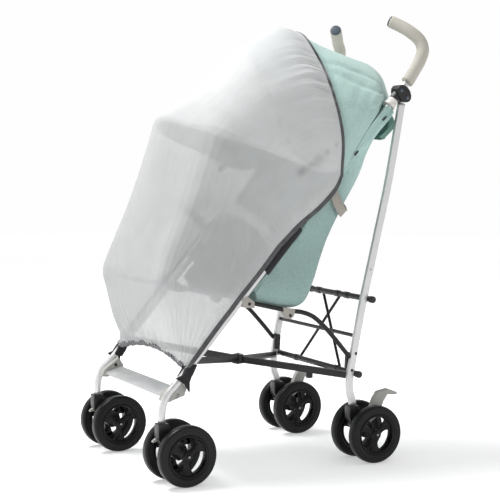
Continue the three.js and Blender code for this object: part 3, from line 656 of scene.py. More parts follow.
# The visor's rim draws the net to a narrow edge, so two more ribs lie close on both its sides
NET_FULL = NET_RIBS[:RIM_RIB] + [
    between(NET_RIBS[RIM_RIB - 1], NET_RIBS[RIM_RIB], 1 - RIM_SPREAD),
    NET_RIBS[RIM_RIB],
    between(NET_RIBS[RIM_RIB], NET_RIBS[RIM_RIB + 1], RIM_SPREAD),
] + NET_RIBS[RIM_RIB + 1 :]
RIB_PLACES = list(range(RIM_RIB)) + [RIM_RIB - RIM_SPREAD, RIM_RIB, RIM_RIB + RIM_SPREAD]
RIB_PLACES += list(range(RIM_RIB + 1, len(NET_RIBS)))


def net_surface(s, t):
    """Smooth net. s counts the table's ribs evenly, without the two added ones."""
    ribs = np.interp(np.asarray(s) * (len(NET_RIBS) - 1), RIB_PLACES, range(len(RIB_PLACES)))
    return cloth_surface(NET_FULL, ribs / (len(RIB_PLACES) - 1), t)


def net_folds(s, t):
    """Fold heights in millimetres: the main folds of the solid and the finer creases on them."""
    across = np.abs(t - 0.5) * 2
    side = np.minimum(t, 1 - t)
    foot_wave = np.sin(TAU * 7 * t + 1.3 * np.sin(9 * t) + 2 * s)
    main = 2.4 * smooth_step(0.72, 0.97, s) * foot_wave
    brow = smooth_step(0.02, 0.08, s) * (1 - smooth_step(0.12, 0.3, s))
    main = main + 1.6 * brow * bell(across, 0.38, 0.22) * np.sin(TAU * 9 * t + 5 * s)
    flank = smooth_step(0.15, 0.3, s) * (1 - smooth_step(0.6, 0.75, s))
    main = main + 2.0 * flank * smooth_step(0.5, 0.8, across) * wave(2.2 * across + 2.6 * s)
    main = main * smooth_step(0, 0.06, t) * smooth_step(0, 0.06, 1 - t)
    crease = np.sin(TAU * 31 * t + 2.2 * np.sin(17 * t) + 3.0 * s)
    crease = crease + 0.6 * np.sin(TAU * 53 * t + 1.7 * np.sin(23 * t) - 2.0 * s)
    fine = 1.1 * smooth_step(0.74, 1.0, s) ** 1.6 * crease
    gather = (1 - smooth_step(0.03, 0.2, s)) * bell(across, 0.42, 0.2)
    pleat = np.sin(TAU * 24 * t + 9 * s) + 0.5 * np.sin(TAU * 41 * t - 6 * s + 1.0)
    fine = fine + 1.5 * gather * pleat * smooth_step(0.0, 0.02, s)
    strain = smooth_step(0.25, 0.45, s) * (1 - smooth_step(0.7, 0.8, s))
    bands = wave(16 * across + 1.2 * np.sin(5 * s))
    fine = fine + 0.35 * strain * smooth_step(0.25, 0.6, across) * bands
    edge = np.sin(TAU * 46 * s + 1.5 * np.sin(31 * s))
    fine = fine + 0.45 * (1 - smooth_step(0.0, 0.05, side)) * edge
    return main + fine * smooth_step(0, 0.012, side)


s_values, t_values = np.linspace(0, 1, NET_ROWS), np.linspace(0, 1, NET_COLS)
net_smooth = net_surface(s_values, t_values)
net_heights = net_folds(s_values[:, None], t_values[None, :])
net_grid = net_smooth + normals_of(net_smooth) * net_heights[..., None]
net_metres = place(net_grid)
net = make_piece("net", *grid_cells(net_metres), NET, cloth_uv(net_metres), ["net_cloth"],
                 closed=False)

# ---- binding round the net ----
BIND_GAP = -0.6
BIND_W = 11.0
ARCH_W = 8.0
BIND_HALF = 1.25
SIDE_STEPS = 110
ARCH_STEPS = 150
FAN_STEPS = 5
EDGE_STEP = 0.01


def edge_frames(s, t):
    """Edge points of the smooth net with the ways along S and T, for lists of s and t."""
    points, over_s, over_t = [], [], []
    for one_s, one_t in zip(s, t):
        in_s, in_t = np.clip([one_s, one_t], EDGE_STEP, 1 - EDGE_STEP)
        patch = net_surface([one_s, in_s - EDGE_STEP, in_s, in_s + EDGE_STEP],
                            [one_t, in_t - EDGE_STEP, in_t, in_t + EDGE_STEP])
        points.append(patch[0, 0])
        over_s.append(patch[3, 2] - patch[1, 2])
        over_t.append(patch[2, 3] - patch[2, 1])
    return np.array(points), unit(np.array(over_s)), unit(np.array(over_t))


def tape_rings(points, ways, normals, width, half, ripple, curl):
    """Rings of a rounded flat tape that starts at the cloth's edge and runs outwards."""
    u = signed_power(np.cos(circle(18)), 0.45)
    v = signed_power(np.sin(circle(18)), 0.7)
    rings = []
    for i, wide in enumerate(width):
        middle = points[i] + ways[i] * (BIND_GAP + wide / 2) + normals[i] * curl[i]
        wide_part = np.outer(u * wide / 2, ways[i])
        rings.append(middle + wide_part + np.outer(v * half * ripple[i], normals[i]))
    return np.array(rings)


def side_edge(s, t):
    """Points, outward ways and normals down or up one side of the net."""
    points, over_s, over_t = edge_frames(s, np.full(SIDE_STEPS, t))
    return points, square_to(over_s, over_t if t else -over_t), np.cross(over_s, over_t)


def fan(first, second):
    """Turns the tape round a corner of the cloth."""
    share = np.linspace(0, 1, FAN_STEPS + 2)[1:-1, None]
    way, normal = (first[k][-1] * (1 - share) + second[k][0] * share for k in (1, 2))
    return np.repeat(first[0][-1][None], FAN_STEPS, 0), unit(way), normal


down_side = np.linspace(0, 1, SIDE_STEPS)
near_edge = side_edge(down_side[::-1], 0)
far_edge = side_edge(down_side, 1)
arch_points, arch_s, arch_t = edge_frames(np.zeros(ARCH_STEPS), np.linspace(0, 1, ARCH_STEPS))
arch = (arch_points, square_to(arch_t, -arch_s), np.cross(arch_s, arch_t))
parts = [near_edge, fan(near_edge, arch), arch, fan(arch, far_edge), far_edge]
bind_points, bind_ways, bind_normals = (np.concatenate([p[k] for p in parts]) for k in range(3))
bind_normals = unit(bind_normals)
bind_length = run_length(bind_points)
top_share = np.exp(-(((bind_length - bind_length[-1] / 2) / 260) ** 4))
ruffle = np.sin(bind_length * TAU / 7.5 + 1.4 * np.sin(bind_length / 23))
soft_wave = np.sin(bind_length * TAU / 46 + 2.0 * np.sin(bind_length / 70))
ripple = 1 + 0.30 * top_share * ruffle + 0.08 * soft_wave
curl = 0.5 * top_share * ruffle + 0.35 * soft_wave * (1 - 0.5 * top_share)
side_end = SIDE_STEPS + FAN_STEPS
numbers = np.arange(len(bind_points))
steps_in = np.minimum(numbers - side_end, len(bind_points) - side_end - numbers)
bind_width = BIND_W + (ARCH_W - BIND_W) * smooth_step(-25, 0, steps_in)
bind_rings = tape_rings(bind_points, bind_ways, bind_normals, bind_width, BIND_HALF, ripple, curl)
binding = loft("net_binding_tape", place(bind_rings), RUCHED, ["net_binding"])
# Painted light and shade on the binding: lighter at the top of the arch, and lighter and darker
# with its ruffles and soft wave.
bind_painted_light = 0.58 + 0.04 * soft_wave + top_share * (0.30 + 0.75 * ruffle)
write_attribute(binding, "painted_shading", np.repeat(bind_painted_light, bind_rings.shape[1]))

for k, share in enumerate((0.2, 0.8)):
    reach = (BIND_GAP + bind_width * share)[:, None]
    rise = (curl + BIND_HALF * ripple)[:, None]
    line = place(bind_points + bind_ways * reach + bind_normals * rise)
    stitches(f"tape_stitch_{k}", line, bind_normals, THREAD)

# ---- foot elastic ----
FOOT_INSET = 0.085
FOOT_W = 12.5
FOOT_HALF = 2.2
FOOT_LAP = 3.0
FOOT_STEPS = 320

foot_t = np.linspace(FOOT_INSET, 1 - FOOT_INSET, FOOT_STEPS)
foot_points, foot_s, foot_across = edge_frames(np.ones(FOOT_STEPS), foot_t)
foot_way = square_to(foot_across, foot_s)
foot_normal = unit(np.cross(foot_s, foot_across))
foot_points = foot_points + foot_way * (0.9 * wave(13 * foot_t) - FOOT_LAP)[:, None]
pucker = 0.75 * np.sin(TAU * 46 * foot_t + 1.2 * np.sin(40 * foot_t))
pucker = pucker + 0.35 * np.sin(TAU * 29 * foot_t + 2.0)
foot_width = FOOT_W + 1.3 * pucker
foot_rings = tape_rings(
    foot_points, foot_way, foot_normal, foot_width, FOOT_HALF, 1 + 0.5 * pucker, 0.9 * pucker)
foot_elastic = loft("foot_elastic", place(foot_rings), RUCHED, ["net_foot_elastic"])
# Painted light and shade: the elastic's colour is lighter and darker with its puckers.
write_attribute(foot_elastic, "painted_shading", np.repeat(1.0 + 0.85 * pucker, foot_rings.shape[1]))

# ---- hood ----
HOOD_RIBS = [
    ([[172, 560, 840], [164, 568, 850], [142, 580, 858], [88, 625, 870]], [656, 878]),
    ([[178, 544, 859], [168, 556, 882], [146, 566, 893], [90, 602, 914]], [648, 930]),
    ([[204, 511, 834.5], [200, 516, 866], [164, 538, 905], [96, 578, 933]], [612, 963]),
    ([[207.4, 478, 792], [204, 485, 850], [170, 493, 903], [102, 516, 955]], [540, 983]),
    ([[207.4, 445, 744], [207, 445, 815], [174, 445, 890], [104, 448, 966]], [465, 1006]),
    ([[207.4, 420, 706], [208, 418, 778], [175, 412, 862], [103, 410, 958]], [405, 1030]),
    ([[206, 398, 700], [205, 360, 765], [175, 350, 864], [103, 345, 966]], [345, 1037]),
    ([[203, 384, 696], [202, 290, 738], [173, 250, 832], [100, 245, 930]], [262, 990]),
]
# start across, slope, width, height in mm of the ridges from the net's edge to the rear corner
HOOD_RIDGES = [(0.24, 0.42, 0.030, 3.6), (0.28, 0.80, 0.034, 3.6), (0.52, 0.85, 0.030, 1.8)]
HEM_STITCH_LIFT = 0.85
SHELL_T = 0.0014


def shift_rib(rib, dy, dz):
    near, crown = rib
    return ([[x, y + dy, z + dz] for x, y, z in near], [crown[0] + dy, crown[1] + dz])


def hood_folds(s, t):
    across = np.abs(t - 0.5) * 2
    hem = 0.5 * (1 - smooth_step(0.028, 0.034, np.minimum(t, 1 - t)))
    rear_hem = 0.5 * (1 - smooth_step(0.035, 0.042, s))
    seam_place = 0.12 * (s - 0.3)
    seam = 0.45 * bell(across - seam_place, 0.322, 0.014)
    seam = seam - 0.5 * bell(across - seam_place, 0.30, 0.010)
    slack = 1.3 * wave(1.8 * across + 1.4 * s) * smooth_step(0.1, 0.3, s)
    slack = slack * smooth_step(0.3, 0.6, across) * (1 - smooth_step(0.8, 0.97, across))
    pull = 0.45 * wave(5.5 * across - 3.5 * s + 0.3 * np.sin(8 * s))
    pull = pull * bell(s, 0.45, 0.2) * smooth_step(0.25, 0.5, across)
    ridges = sum(height * bell(across - slope * (0.72 - s), start, width)
                 for start, slope, width, height in HOOD_RIDGES)
    ridges = ridges * smooth_step(0.12, 0.3, s) * (1 - smooth_step(0.66, 0.76, s))
    return hem + rear_hem + seam + slack + pull + ridges


hood, hood_grid, hood_smooth = draped(
    "hood_shell", HOOD_RIBS, 120, 180, hood_folds, SHELL_T, MINT, "hood")
hood_normals = normals_of(hood_smooth)
for k, t in enumerate((0.022, 0.978, 0.031, 0.969, 0.336, 0.664)):
    line = line_on(hood_grid, hood_normals, HEM_STITCH_LIFT, t=t)
    stitches(f"hood_stitch_{k}", *line, MINT_DARK)
for k, s in enumerate((0.02, 0.034, 0.93)):
    line = line_on(hood_grid, hood_normals, HEM_STITCH_LIFT, s=s)
    stitches(f"hood_hem_stitch_{k}", *line, MINT_DARK)

# ---- visor ----
VISOR_RIBS = [
    shift_rib(HOOD_RIBS[-1], -1.8, -2.6),
    ([[203.5, 360, 697], [199, 262, 738], [166, 175, 806], [94, 148, 864]], [150, 893]),
    ([[202, 338, 699], [190, 245, 737], [150, 128, 776], [84, 66, 800]], [52, 812]),
]
VISOR_RIM_R = 0.0016


def visor_folds(s, t):
    """Only the bead along the rim."""
    return bell(s, 0.975, 0.018)


visor, _, visor_smooth = draped(
    "visor_panel", VISOR_RIBS, 60, 140, visor_folds, SHELL_T, VISOR, "visor")
rim_line, _ = line_on(visor_smooth, normals_of(visor_smooth), -0.2, s=1)
visor_rim = swept("visor_rim", rim_line, VISOR_RIM_R, VISOR, (0, 0, 1), 12)

# ---- how closely the net's threads lie, their painted shade and how deep the creases ----
BACKED_REACH = 30
BODY_MIDDLE = (0, 260, 620.0)
FLANK_X = 190
# y, z and half width of the lobes of the clip at the hood's lower edge
CLIP_LOBES = [(296, 695, 8), (305, 701, 9), (322, 711, 6), (336, 720, 11), (350, 729, 12),
              (368, 742, 7), (392, 759, 6)]


def backed_share(grid, behind):
    """1 where one of the cloths lies close behind the net and 0 elsewhere, softened a little."""
    trees = [BVHTree.FromPolygons(*map(list, grid_cells(cloth))) for cloth in behind]
    share = np.zeros(grid.shape[:2])
    normals = normals_of(grid)
    facing = np.sum((np.array(BODY_MIDDLE) - grid) * normals, -1, keepdims=True)
    inward = np.sign(facing) * normals
    for spot in np.ndindex(share.shape):
        start, way = Vector(grid[spot]), Vector(inward[spot])
        hits = (tree.ray_cast(start, way, BACKED_REACH)[0] for tree in trees)
        share[spot] = any(hit is not None for hit in hits)
    for _ in range(2):
        padded = np.pad(share, 1, mode="edge")
        rows = padded[:-2, 1:-1] + padded[2:, 1:-1]
        share = (rows + padded[1:-1, :-2] + padded[1:-1, 2:] + 2 * share) / 6
    return share


s, t = s_values[:, None], t_values[None, :]
side = np.minimum(t, 1 - t)
backed = backed_share(net_grid, [hood_smooth, visor_smooth])
edge_band = np.maximum(1 - smooth_step(0.0, 0.03, side), smooth_step(0.9, 1.0, s))
crease_lines = np.sin(TAU * 37 * t + 2.2 * np.sin(17 * t))
crease_lines = crease_lines + 0.7 * np.sin(TAU * 71 * t + 2 * np.sin(29 * t))
lower_part = smooth_step(0.25, 0.55, s)
cover = 0.78 + 0.07 * lower_part * (1 - backed) + 0.21 * backed
cover = cover + 0.08 * edge_band * (1 - backed)
cover = cover + 0.06 * crease_lines * smooth_step(0.70, 0.95, s)
far_off = 1e3 * (np.abs(net_grid[..., 0]) < FLANK_X)
for y, z, wide in CLIP_LOBES:
    gap = np.hypot(net_grid[..., 1] - y, net_grid[..., 2] - z) + far_off
    cover -= 0.20 * bell(gap, 0, wide * 1.2)
write_attribute(net, "cover", np.clip(cover, 0, 1))
# Painted shade: the threads are darker in the lower part of the net.
write_attribute(net, "yarn_painted_shade", np.broadcast_to(1 - 0.24 * lower_part, cover.shape))
drawn_top = (1 - smooth_step(0.04, 0.17, s)) * bell(np.abs(t - 0.5) * 2, 0.40, 0.26)
drawn_foot = 0.5 * smooth_step(0.68, 0.95, s)
drawn_side = 0.35 * (1 - smooth_step(0.0, 0.12, side)) * smooth_step(0.3, 0.5, s)
write_attribute(net, "gather", np.maximum(np.maximum(drawn_top, drawn_foot), drawn_side))

# ---- seat ----
# place beside the tube of the side panel's edge, (y, z) of the sling's rear corner, sag
SEAT_ROWS = [
    ((545, 9, 205.9), (552, 824), 4),
    ((505, 12, 206.1), (502, 764), 10),
    ((445, 4, 204.9), (475, 692), 14),
    ((385, 4, 204.9), (433, 622), 16),
    ((338, 1, 204.9), (392, 549), 16),
    ((311, -9, 203), (370, 496), 14),
    ((270, -14, 191), (352, 444), 12),
    ((232, -14, 190), (326, 394), 10),
    ((205, -14, 189.5), (292, 382.5), 8),
    ((178, -13, 189), (200, 401), 6),
]
SEAT_GRID = (170, 260)
SEAT_T = 0.0018
SEAT_EDGE_X = 181
PIPING_R = 0.0017
PANEL_TURN = (-13, 203.5)
TUBE_WAY = unit(np.array([TUBE_TOP[0] - TUBE_FOOT[0], TUBE_TOP[1] - TUBE_FOOT[1]], float))


def beside_tube(y, offset, x):
    """Place beside a front tube: y on its axis, offset square to it, forwards and up."""
    z = TUBE_FOOT[1] + (y - TUBE_FOOT[0]) * TUBE_WAY[1] / TUBE_WAY[0]
    return [x, y - offset * TUBE_WAY[1], z + offset * TUBE_WAY[0]]


def seat_ribs():
    ribs = []
    for i, (tube, (y, z), sag) in enumerate(SEAT_ROWS):
        outside = tube[1] > PANEL_TURN[0] + 3
        turn_offset = PANEL_TURN[0] if outside else tube[1] - 7
        under = float(smooth_step(6.5, 8, i))
        rest = 1 - under
        near = [
            beside_tube(*tube),
            beside_tube(tube[0], turn_offset, PANEL_TURN[1] if outside else tube[2] - 1),
            [SEAT_EDGE_X, y, z],
            [SEAT_EDGE_X - 22, y + 4 * rest, z - 3 * under],
            [90, y + sag * rest * 0.8, z - sag * under * 0.8],
        ]
        ribs.append((near, [y + sag * rest, z - sag * under]))
    return ribs


def seat_folds(s, t):
    """Heights towards the outside, which is against the grid's normals."""
    side = np.minimum(t, 1 - t)
    welt = 1.5 * bell(side, 0.196, 0.0045) - 0.7 * bell(side, 0.186, 0.003)
    hem = 0.5 * (1 - smooth_step(0.018, 0.022, side)) + 0.5 * smooth_step(0.975, 0.98, s)
    slack = 1.5 * wave(3.2 * s + 6 * side) + 0.8 * wave(5.3 * s - 15 * side + 0.2)
    slack = slack * smooth_step(0.03, 0.09, side) * (1 - smooth_step(0.13, 0.18, side))
    pleat = 0.9 * wave(60 * side) * (1 - smooth_step(0.03, 0.12, s)) * (side < 0.17)
    back_sag = 1.2 * wave(2.5 * s) * smooth_step(0.24, 0.34, side)
    return -(welt + hem + slack + pleat + back_sag)


seat, seat_grid, seat_smooth = draped(
    "seat_sling", seat_ribs(), *SEAT_GRID, seat_folds, SEAT_T, SHADED_SEAT_CLOTH, "seat")
seat_s, seat_t = (np.linspace(0, 1, count) for count in SEAT_GRID)
seat_s = seat_s[:, None]
# Painted shade: the seat cloth is lighter in its upper part and darker below, with faint waves.
seat_painted_shade = 1 + 0.42 * (1 - smooth_step(0.14, 0.42, seat_s))
seat_painted_shade = seat_painted_shade + 0.05 * wave(2.1 * seat_s + 9 * np.minimum(seat_t, 1 - seat_t))
write_attribute(seat, "painted_shading", np.tile(seat_painted_shade.ravel(), 2))

seat_normals = -normals_of(seat_smooth)
for side_name, sign in SIDES:
    line, _ = line_on(seat_grid, seat_normals, 1.6, t=0.5 - 0.3 * sign, part=(0.02, 0.9))
    piping = swept(f"seat_piping_{side_name}", line, PIPING_R, MINT_DARK, (0, 0, 1), 12)
    for k, inset in enumerate((0.006, 0.165, 0.182)):
        t = inset if sign > 0 else 1 - inset
        line = line_on(seat_grid, seat_normals, 1.05, t=t, part=(0.01, 0.98))
        stitches(f"seat_stitch_{side_name}_{k}", *line, MINT_DARK)

# ---- leg rest ----
REST_HALF = 165
REST_REAR = np.array([0, 199.6, 398])
REST_FRONT = np.array([0, -22, 440])
CHANNEL_X = 120

rest_rings = []
for v in np.linspace(0, 1, 48):
    soft = (1 - abs(2 * v - 1) ** 8) ** 0.5
    half_x = REST_HALF * (1 - 0.06 * v**3) * (0.985 + 0.015 * soft)
    x = signed_power(np.cos(circle(72)), 0.25) * half_x
    crown = 3.4 + 0.6 * np.cos(x / half_x * np.pi / 2)
    channel = 1 - 0.25 * bell(np.abs(x), CHANNEL_X, 4)
    z = signed_power(np.sin(circle(72)), 0.4) * crown * channel * (0.25 + 0.75 * soft)
    rest_rings.append(REST_REAR + (REST_FRONT - REST_REAR) * v + np.stack([x, z * 0.18, z], -1))
leg_rest = loft("leg_rest_pad", place(rest_rings), MINT, ["leg_rest"])

# ---- recline strap ----
STRAP_X = 207.2
STRAP_W = 24
STRAP_T = 0.0017
strap_path = even_path(both_halves([
    [STRAP_X, 384, 659], [STRAP_X, 405, 617], [STRAP_X - 9, 423, 599],
    [STRAP_X - 33, 437, 606], [90, 463, 620], [0, 469, 624],
]), 120)
side_share = smooth_step(170, 205, np.abs(strap_path[:, 0]))[:, None]
strap_slope = unit(side_share * [0, 0.5, 0.35] + (1 - side_share) * [0, 0.45, 0.89])
strap_rows = np.linspace(-0.5, 0.5, 9) * STRAP_W
strap_grid = strap_path[:, None, :] + strap_slope[:, None, :] * strap_rows[None, :, None]
recline = cloth_piece("recline_webbing", place(strap_grid), STRAP_T, WEBBING, ["recline_strap"])

# ---- rear pocket ----
POCKET_RIBS = [
    shift_rib(HOOD_RIBS[0], 0.2, -0.8),
    ([[168, 566, 806], [160, 590, 810], [135, 600, 814], [88, 622, 816]], [650, 820]),
    ([[155, 548, 780], [140, 570, 777], [115, 585, 776], [80, 598, 776]], [612, 778]),
]


def pocket_folds(s, t):
    return 1.2 * np.sin(TAU * 5 * t + 3 * s) + 0.7 * smooth_step(0.9, 0.93, s)


pocket, _, pocket_smooth = draped(
    "rear_pocket_panel", POCKET_RIBS, 60, 120, pocket_folds, SHELL_T, POCKET, "rear_pocket")

# ---- bumper bar ----
BUMPER_R = 0.0126
bumper_path = even_path(both_halves([
    [184.1, 250, 514.8], [178, 250, 515.2], [168, 222, 566],
    [150, 168, 606], [105, 142, 617], [0, 132, 620],
]), 90)
bumper = swept("bumper_pad", place(bumper_path), BUMPER_R, BUMPER, (0, 0, 1), 32,
               replaces=["bumper_bar"])

# ---- front tubes, rear legs, rails, grips ----
TUBE_LOW = [(-43, 140), (-42.5, 160), (-40, 177), (-34, 193), (-23, 208), (-10, 221)]
LEG_TABLE = [(590, 862), (555, 672), (524, 540), (511, 485), (488, 389), (473, 315), (459, 241),
             (452, 195), (454, 165), (460.5, 148), (460.5, 136.4)]
RAIL_TABLE = [(183, 397), (283, 374), (320, 368), (348, 357), (376, 335), (412, 298),
              (451.5, 253.6)]
GRIP_TABLE = [
    [195, 600.4, 912.5], [195, 606, 919], [195, 621, 941], [194, 638, 967], [191, 648, 992],
    [183, 645, 1014], [170, 630, 1033], [150, 614, 1049], [129, 597, 1062],
]
tube_points = [[TUBE_X, y, z] for y, z in TUBE_LOW]
tube_points += [beside_tube(y, 0, TUBE_X) for y in (4, 40, 160, 300, 450, 600)]
grip_path = even_path(GRIP_TABLE, 70)
cap_way = unit(grip_path[-1] - grip_path[-2])
cap_path = np.linspace(grip_path[-1] + cap_way * 0.4, grip_path[-1] + cap_way * 2.6, 5)
sleeve_path = np.array([beside_tube(y, -3.2, TUBE_X) for y in np.linspace(212, 298, 20)])

# name, path of the near one, half width, material, node, other values of swept
TUBES = [
    ("frame_tube", even_path(tube_points, 120), 0.0085, SILVER, "front_tube", {}),
    ("frame_leg", even_path([[LEG_X, y, z] for y, z in LEG_TABLE], 110), (0.0055, 0.009), SILVER,
     "rear_leg", {"count": 40, "power": 6.0}),
    ("frame_rail", even_path([[LEG_X, y, z] for y, z in RAIL_TABLE], 60), 0.0055, BLACK_TUBE,
     "seat_rail", {}),
    ("foam_grip", grip_path, 0.015, FOAM, "grip", {"count": 36}),
    ("grip_end", cap_path, 0.0138, CAP, "grip_cap", {"count": 36, "ends": 0.0022}),
    ("arm_sleeve", sleeve_path, (0.0106, 0.0138), STRAP, "arm_pad", {"ends": 0.002}),
]
# node, material, width of the rounded edges of the pieces that keep a solid's shape
MOULDED = [
    ("hub", BLACK, 0.003),
    ("collar", BEIGE, 0.0012),
    ("front_bracket", TAUPE, 0.0016),
    ("rear_bracket", TAUPE, 0.0016),
    ("foot_bracket", GREY, 0.0014),
    ("corner_strap", STRAP, 0.0012),
    ("front_housing", BLACK, 0.0025),
    ("rear_housing", BLACK, 0.0025),
    ("brake_pedal", GREY, 0.0014),
]
for side_name, sign in SIDES:
    for name, path, half, mat, node_name, more in TUBES:
        swept(f"{name}_{side_name}", place(mirror_x(path, sign)), half, mat,
              replaces=[f"{node_name}_{side_name}"], **more)
    for node_name, mat, width in MOULDED:
        from_node(f"{node_name}_{side_name}", mat, width)
from_node("lower_cross", BLACK_TUBE, 0.002)
from_node("foot_plate", PLATE, 0.0012)

# ---- rear bars and rods: y, z, radius, half length ----
UPPER_BAR = (505.6, 391, 7, 203)
MID_BAR = (471.5, 303, 4.6, 182.3)
LOW_BAR = (470.9, 212, 7, 201)
ROD_R = 3.6
ROD_GAP = 0.45
for name, (*spot, half) in (("upper", UPPER_BAR), ("middle", MID_BAR), ("lower", LOW_BAR)):
    bar_x(f"cross_bar_{name}", -half, half, *spot, BLACK_TUBE, 0.001, [f"rear_bar_{name}"])
for rod_name, sign in (("one", 1), ("two", -1)):
    top = [-sign * 45, UPPER_BAR[0] + UPPER_BAR[2] + ROD_R + ROD_GAP, UPPER_BAR[1]]
    foot = [sign * 98, LOW_BAR[0] + LOW_BAR[2] + ROD_R + ROD_GAP, LOW_BAR[1]]
    swept(f"cross_rod_{rod_name}", np.linspace(place(top), place(foot), 12), ROD_R * MM,
          BLACK_TUBE, (0, 1, 0), 16, 0.001, ["rear_rods"] if sign == 1 else ())

# ---- wheels ----
RIM_R = 0.0468
RIM_STEPS = 72
HUB_STEPS = 36
TYRE_STEPS = 96
SPOKE_STEPS = 10
SPOKE_SIDES = 9
# radius past the rim's, x
RIM_PROFILE = [(1, -11.2), (1, 11.2), (-1, 11.8), (-3, 10.5), (-3.8, 6), (-4.2, 0), (-3.8, -6),
               (-3, -10.5), (-1, -11.8)]
# radius, x
HUB_PROFILE = [(0.1, -11.3), (9, -11.3), (11.8, -9), (12.4, 0), (11.8, 9), (9, 11.3), (0.1, 11.3)]
# name, distance from the wheel's middle, radius and height in mm, material
AXLE_HEADS = [("bolt", 11.3, 5.6, 2.2, CORE), ("pin", 12.8, 2.8, 1.6, BOLT)]


def tyre_profile():
    """Squared round section with a groove on each side and a bead at the rim."""
    profile = []
    for angle in circle(72):
        out = signed_power(math.cos(angle), 0.55)
        radius = (RIM_R + WHEEL_R) / 2 + out * (WHEEL_R - RIM_R) / 2
        across = signed_power(math.sin(angle), 0.6) * TYRE_W / 2
        groove = 0.0011 * bell(radius, 0.0615, 0.0008) - 0.0007 * bell(radius, 0.0505, 0.0012)
        profile.append((radius, across - math.copysign(groove, across)))
    return profile


def turned(profile, count):
    """Rings of a profile of (radius, x) turned round the X axis."""
    return [[(x, r * math.sin(angle), -r * math.cos(angle)) for r, x in profile]
            for angle in circle(count)]


def spoke_points(middle, face):
    """Points of a dished spoke, in steps outwards, then round, then on its two faces."""
    points = []
    for share in np.linspace(0, 1, SPOKE_STEPS):
        radius = 0.009 + (RIM_R - 0.011) * share
        half = 0.0078 + 0.0058 * abs(2 * share - 0.75) ** 2
        dish = 0.0015 - 0.0035 * math.sin(share * math.pi)
        for around in np.linspace(-1, 1, SPOKE_SIDES):
            angle = middle + around * half / max(radius, 0.012)
            bulge = 0.0052 * (1 - 0.45 * around**2)
            for x in (dish * face + bulge, dish * face - bulge):
                points.append((x, radius * math.sin(angle), -radius * math.cos(angle)))
    return points


def wheel_core(name, centre, face, replaced):
    """Rim, three dished spokes and a hub, in one mesh."""
    points, faces = [], []
    rim = [(RIM_R + r * MM, x * MM) for r, x in RIM_PROFILE]
    hub = [(r * MM, x * MM) for r, x in HUB_PROFILE]
    for profile, count in ((rim, RIM_STEPS), (hub, HUB_STEPS)):
        faces += ring_cells(count, len(profile), True, len(points))
        points += [point for ring in turned(profile, count) for point in ring]
    for middle in circle(3):
        index = np.arange(SPOKE_STEPS * SPOKE_SIDES * 2).reshape(SPOKE_STEPS, SPOKE_SIDES, 2)
        index = index + len(points)
        points += spoke_points(middle, face)
        for low, high in zip(index[:-1], index[1:]):
            for j in range(SPOKE_SIDES - 1):
                faces.append([low[j, 0], high[j, 0], high[j + 1, 0], low[j + 1, 0]])
                faces.append([low[j, 1], low[j + 1, 1], high[j + 1, 1], high[j, 1]])
            faces.append([low[0, 0], low[0, 1], high[0, 1], high[0, 0]])
            faces.append([low[-1, 0], high[-1, 0], high[-1, 1], low[-1, 1]])
    piece = make_piece(name, np.array(points) + centre, faces, CORE, replaces=[replaced])
    return soften_angles(piece, 40)


def dome_x(name, centre, sign, radius, height, mat):
    """A low round head that faces along X."""
    heads = [(1, 0), (1, 0.35)]
    for share in (0.4, 0.75, 0.95, 1.0):
        turn = share * math.pi / 2
        heads.append((math.cos(turn) if share < 1 else 0.04, 0.35 + 0.65 * math.sin(turn)))
    angle = circle(24)
    rings = [
        np.stack([np.full(24, centre[0] + sign * height * out),
                  centre[1] + radius * wide * np.cos(angle),
                  centre[2] + radius * wide * np.sin(angle)], -1)
        for wide, out in heads
    ]
    return soften_angles(loft(name, rings, mat), 50)


TYRE_PROFILE = tyre_profile()
for set_name, pair_x, wheel_y in (("front", FRONT_X, 0.0), ("rear", REAR_X, WHEELBASE)):
    for place_name, offset in (("outer", PAIR_X), ("inner", -PAIR_X)):
        for side_name, sign in SIDES:
            centre = np.array([sign * (pair_x + offset), wheel_y + Y_SHIFT, WHEEL_R])
            label = f"{set_name}_{place_name}_{side_name}"
            face = sign if offset > 0 else -sign
            node_name = f"{set_name}_wheel_{place_name}_{side_name}"
            tyre = np.array(turned(TYRE_PROFILE, TYRE_STEPS)) + centre
            loft(f"tyre_{label}", tyre, TYRE, [node_name], closed=True)
            wheel_core(f"core_{label}", centre, face, node_name)
            for name, reach, radius, height, mat in AXLE_HEADS:
                dome_x(f"{name}_{label}", centre + [face * reach * MM, 0, 0], face, radius * MM,
                       height * MM, mat)

# ---- small hardware ----
# name, place of the near one, way it faces, radius and height in mm, material
SCREWS = [
    ("hub_screw_{}_0", (213.0, 573, 891), 1, 4.4, 1.8, CAP),
    ("hub_screw_{}_1", (213.0, 590, 874), 1, 4.4, 1.8, CAP),
    ("bracket_screw_{}_0", (204.0, 171, 396), 1, 3.8, 1.6, BLACK),
    ("bracket_screw_{}_1", (196.0, 283, 363), 1, 3.8, 1.6, BLACK),
    ("leg_rivet_{}_0", (193.5, 466.5, 262), 1, 3.6, 1.4, BLACK),
    ("leg_rivet_{}_1", (193.5, 456, 222), 1, 3.6, 1.4, BLACK),
    ("foot_rivet_{}", (170.2, -4, 214), -1, 4.0, 1.4, BLACK),
]
LEG_RIVETS = [
    ("pedal_rivet_{}", (196.9, 520, 118), 1, 3.5, 1.2, BOLT),
    ("leg_bolt_{}", (193.5, 505, 463), 1, 2.2, 1.0, BOLT),
]
ZIP_PULLS = [(450, 741, 0.75), (528, 824, 0.8)]  # y, z, lean
PULL_X = (208.6, 210.2)
PULL_HALF = 7.0
PULL_WIDE = 1.9
CLIP_X = 208.0
RING_AT = (197.5, -6.5, 197.5)
RING_AXIS = (0.5, -1, 0.4)
RING_R = 0.0048
RING_WIRE = 0.0011
JOINT_X = (171, 181.8)
LEVER_X = (189, 197)
JOINT_OUTLINE = [(447, 226), (463, 222), (465, 262), (449, 266)]
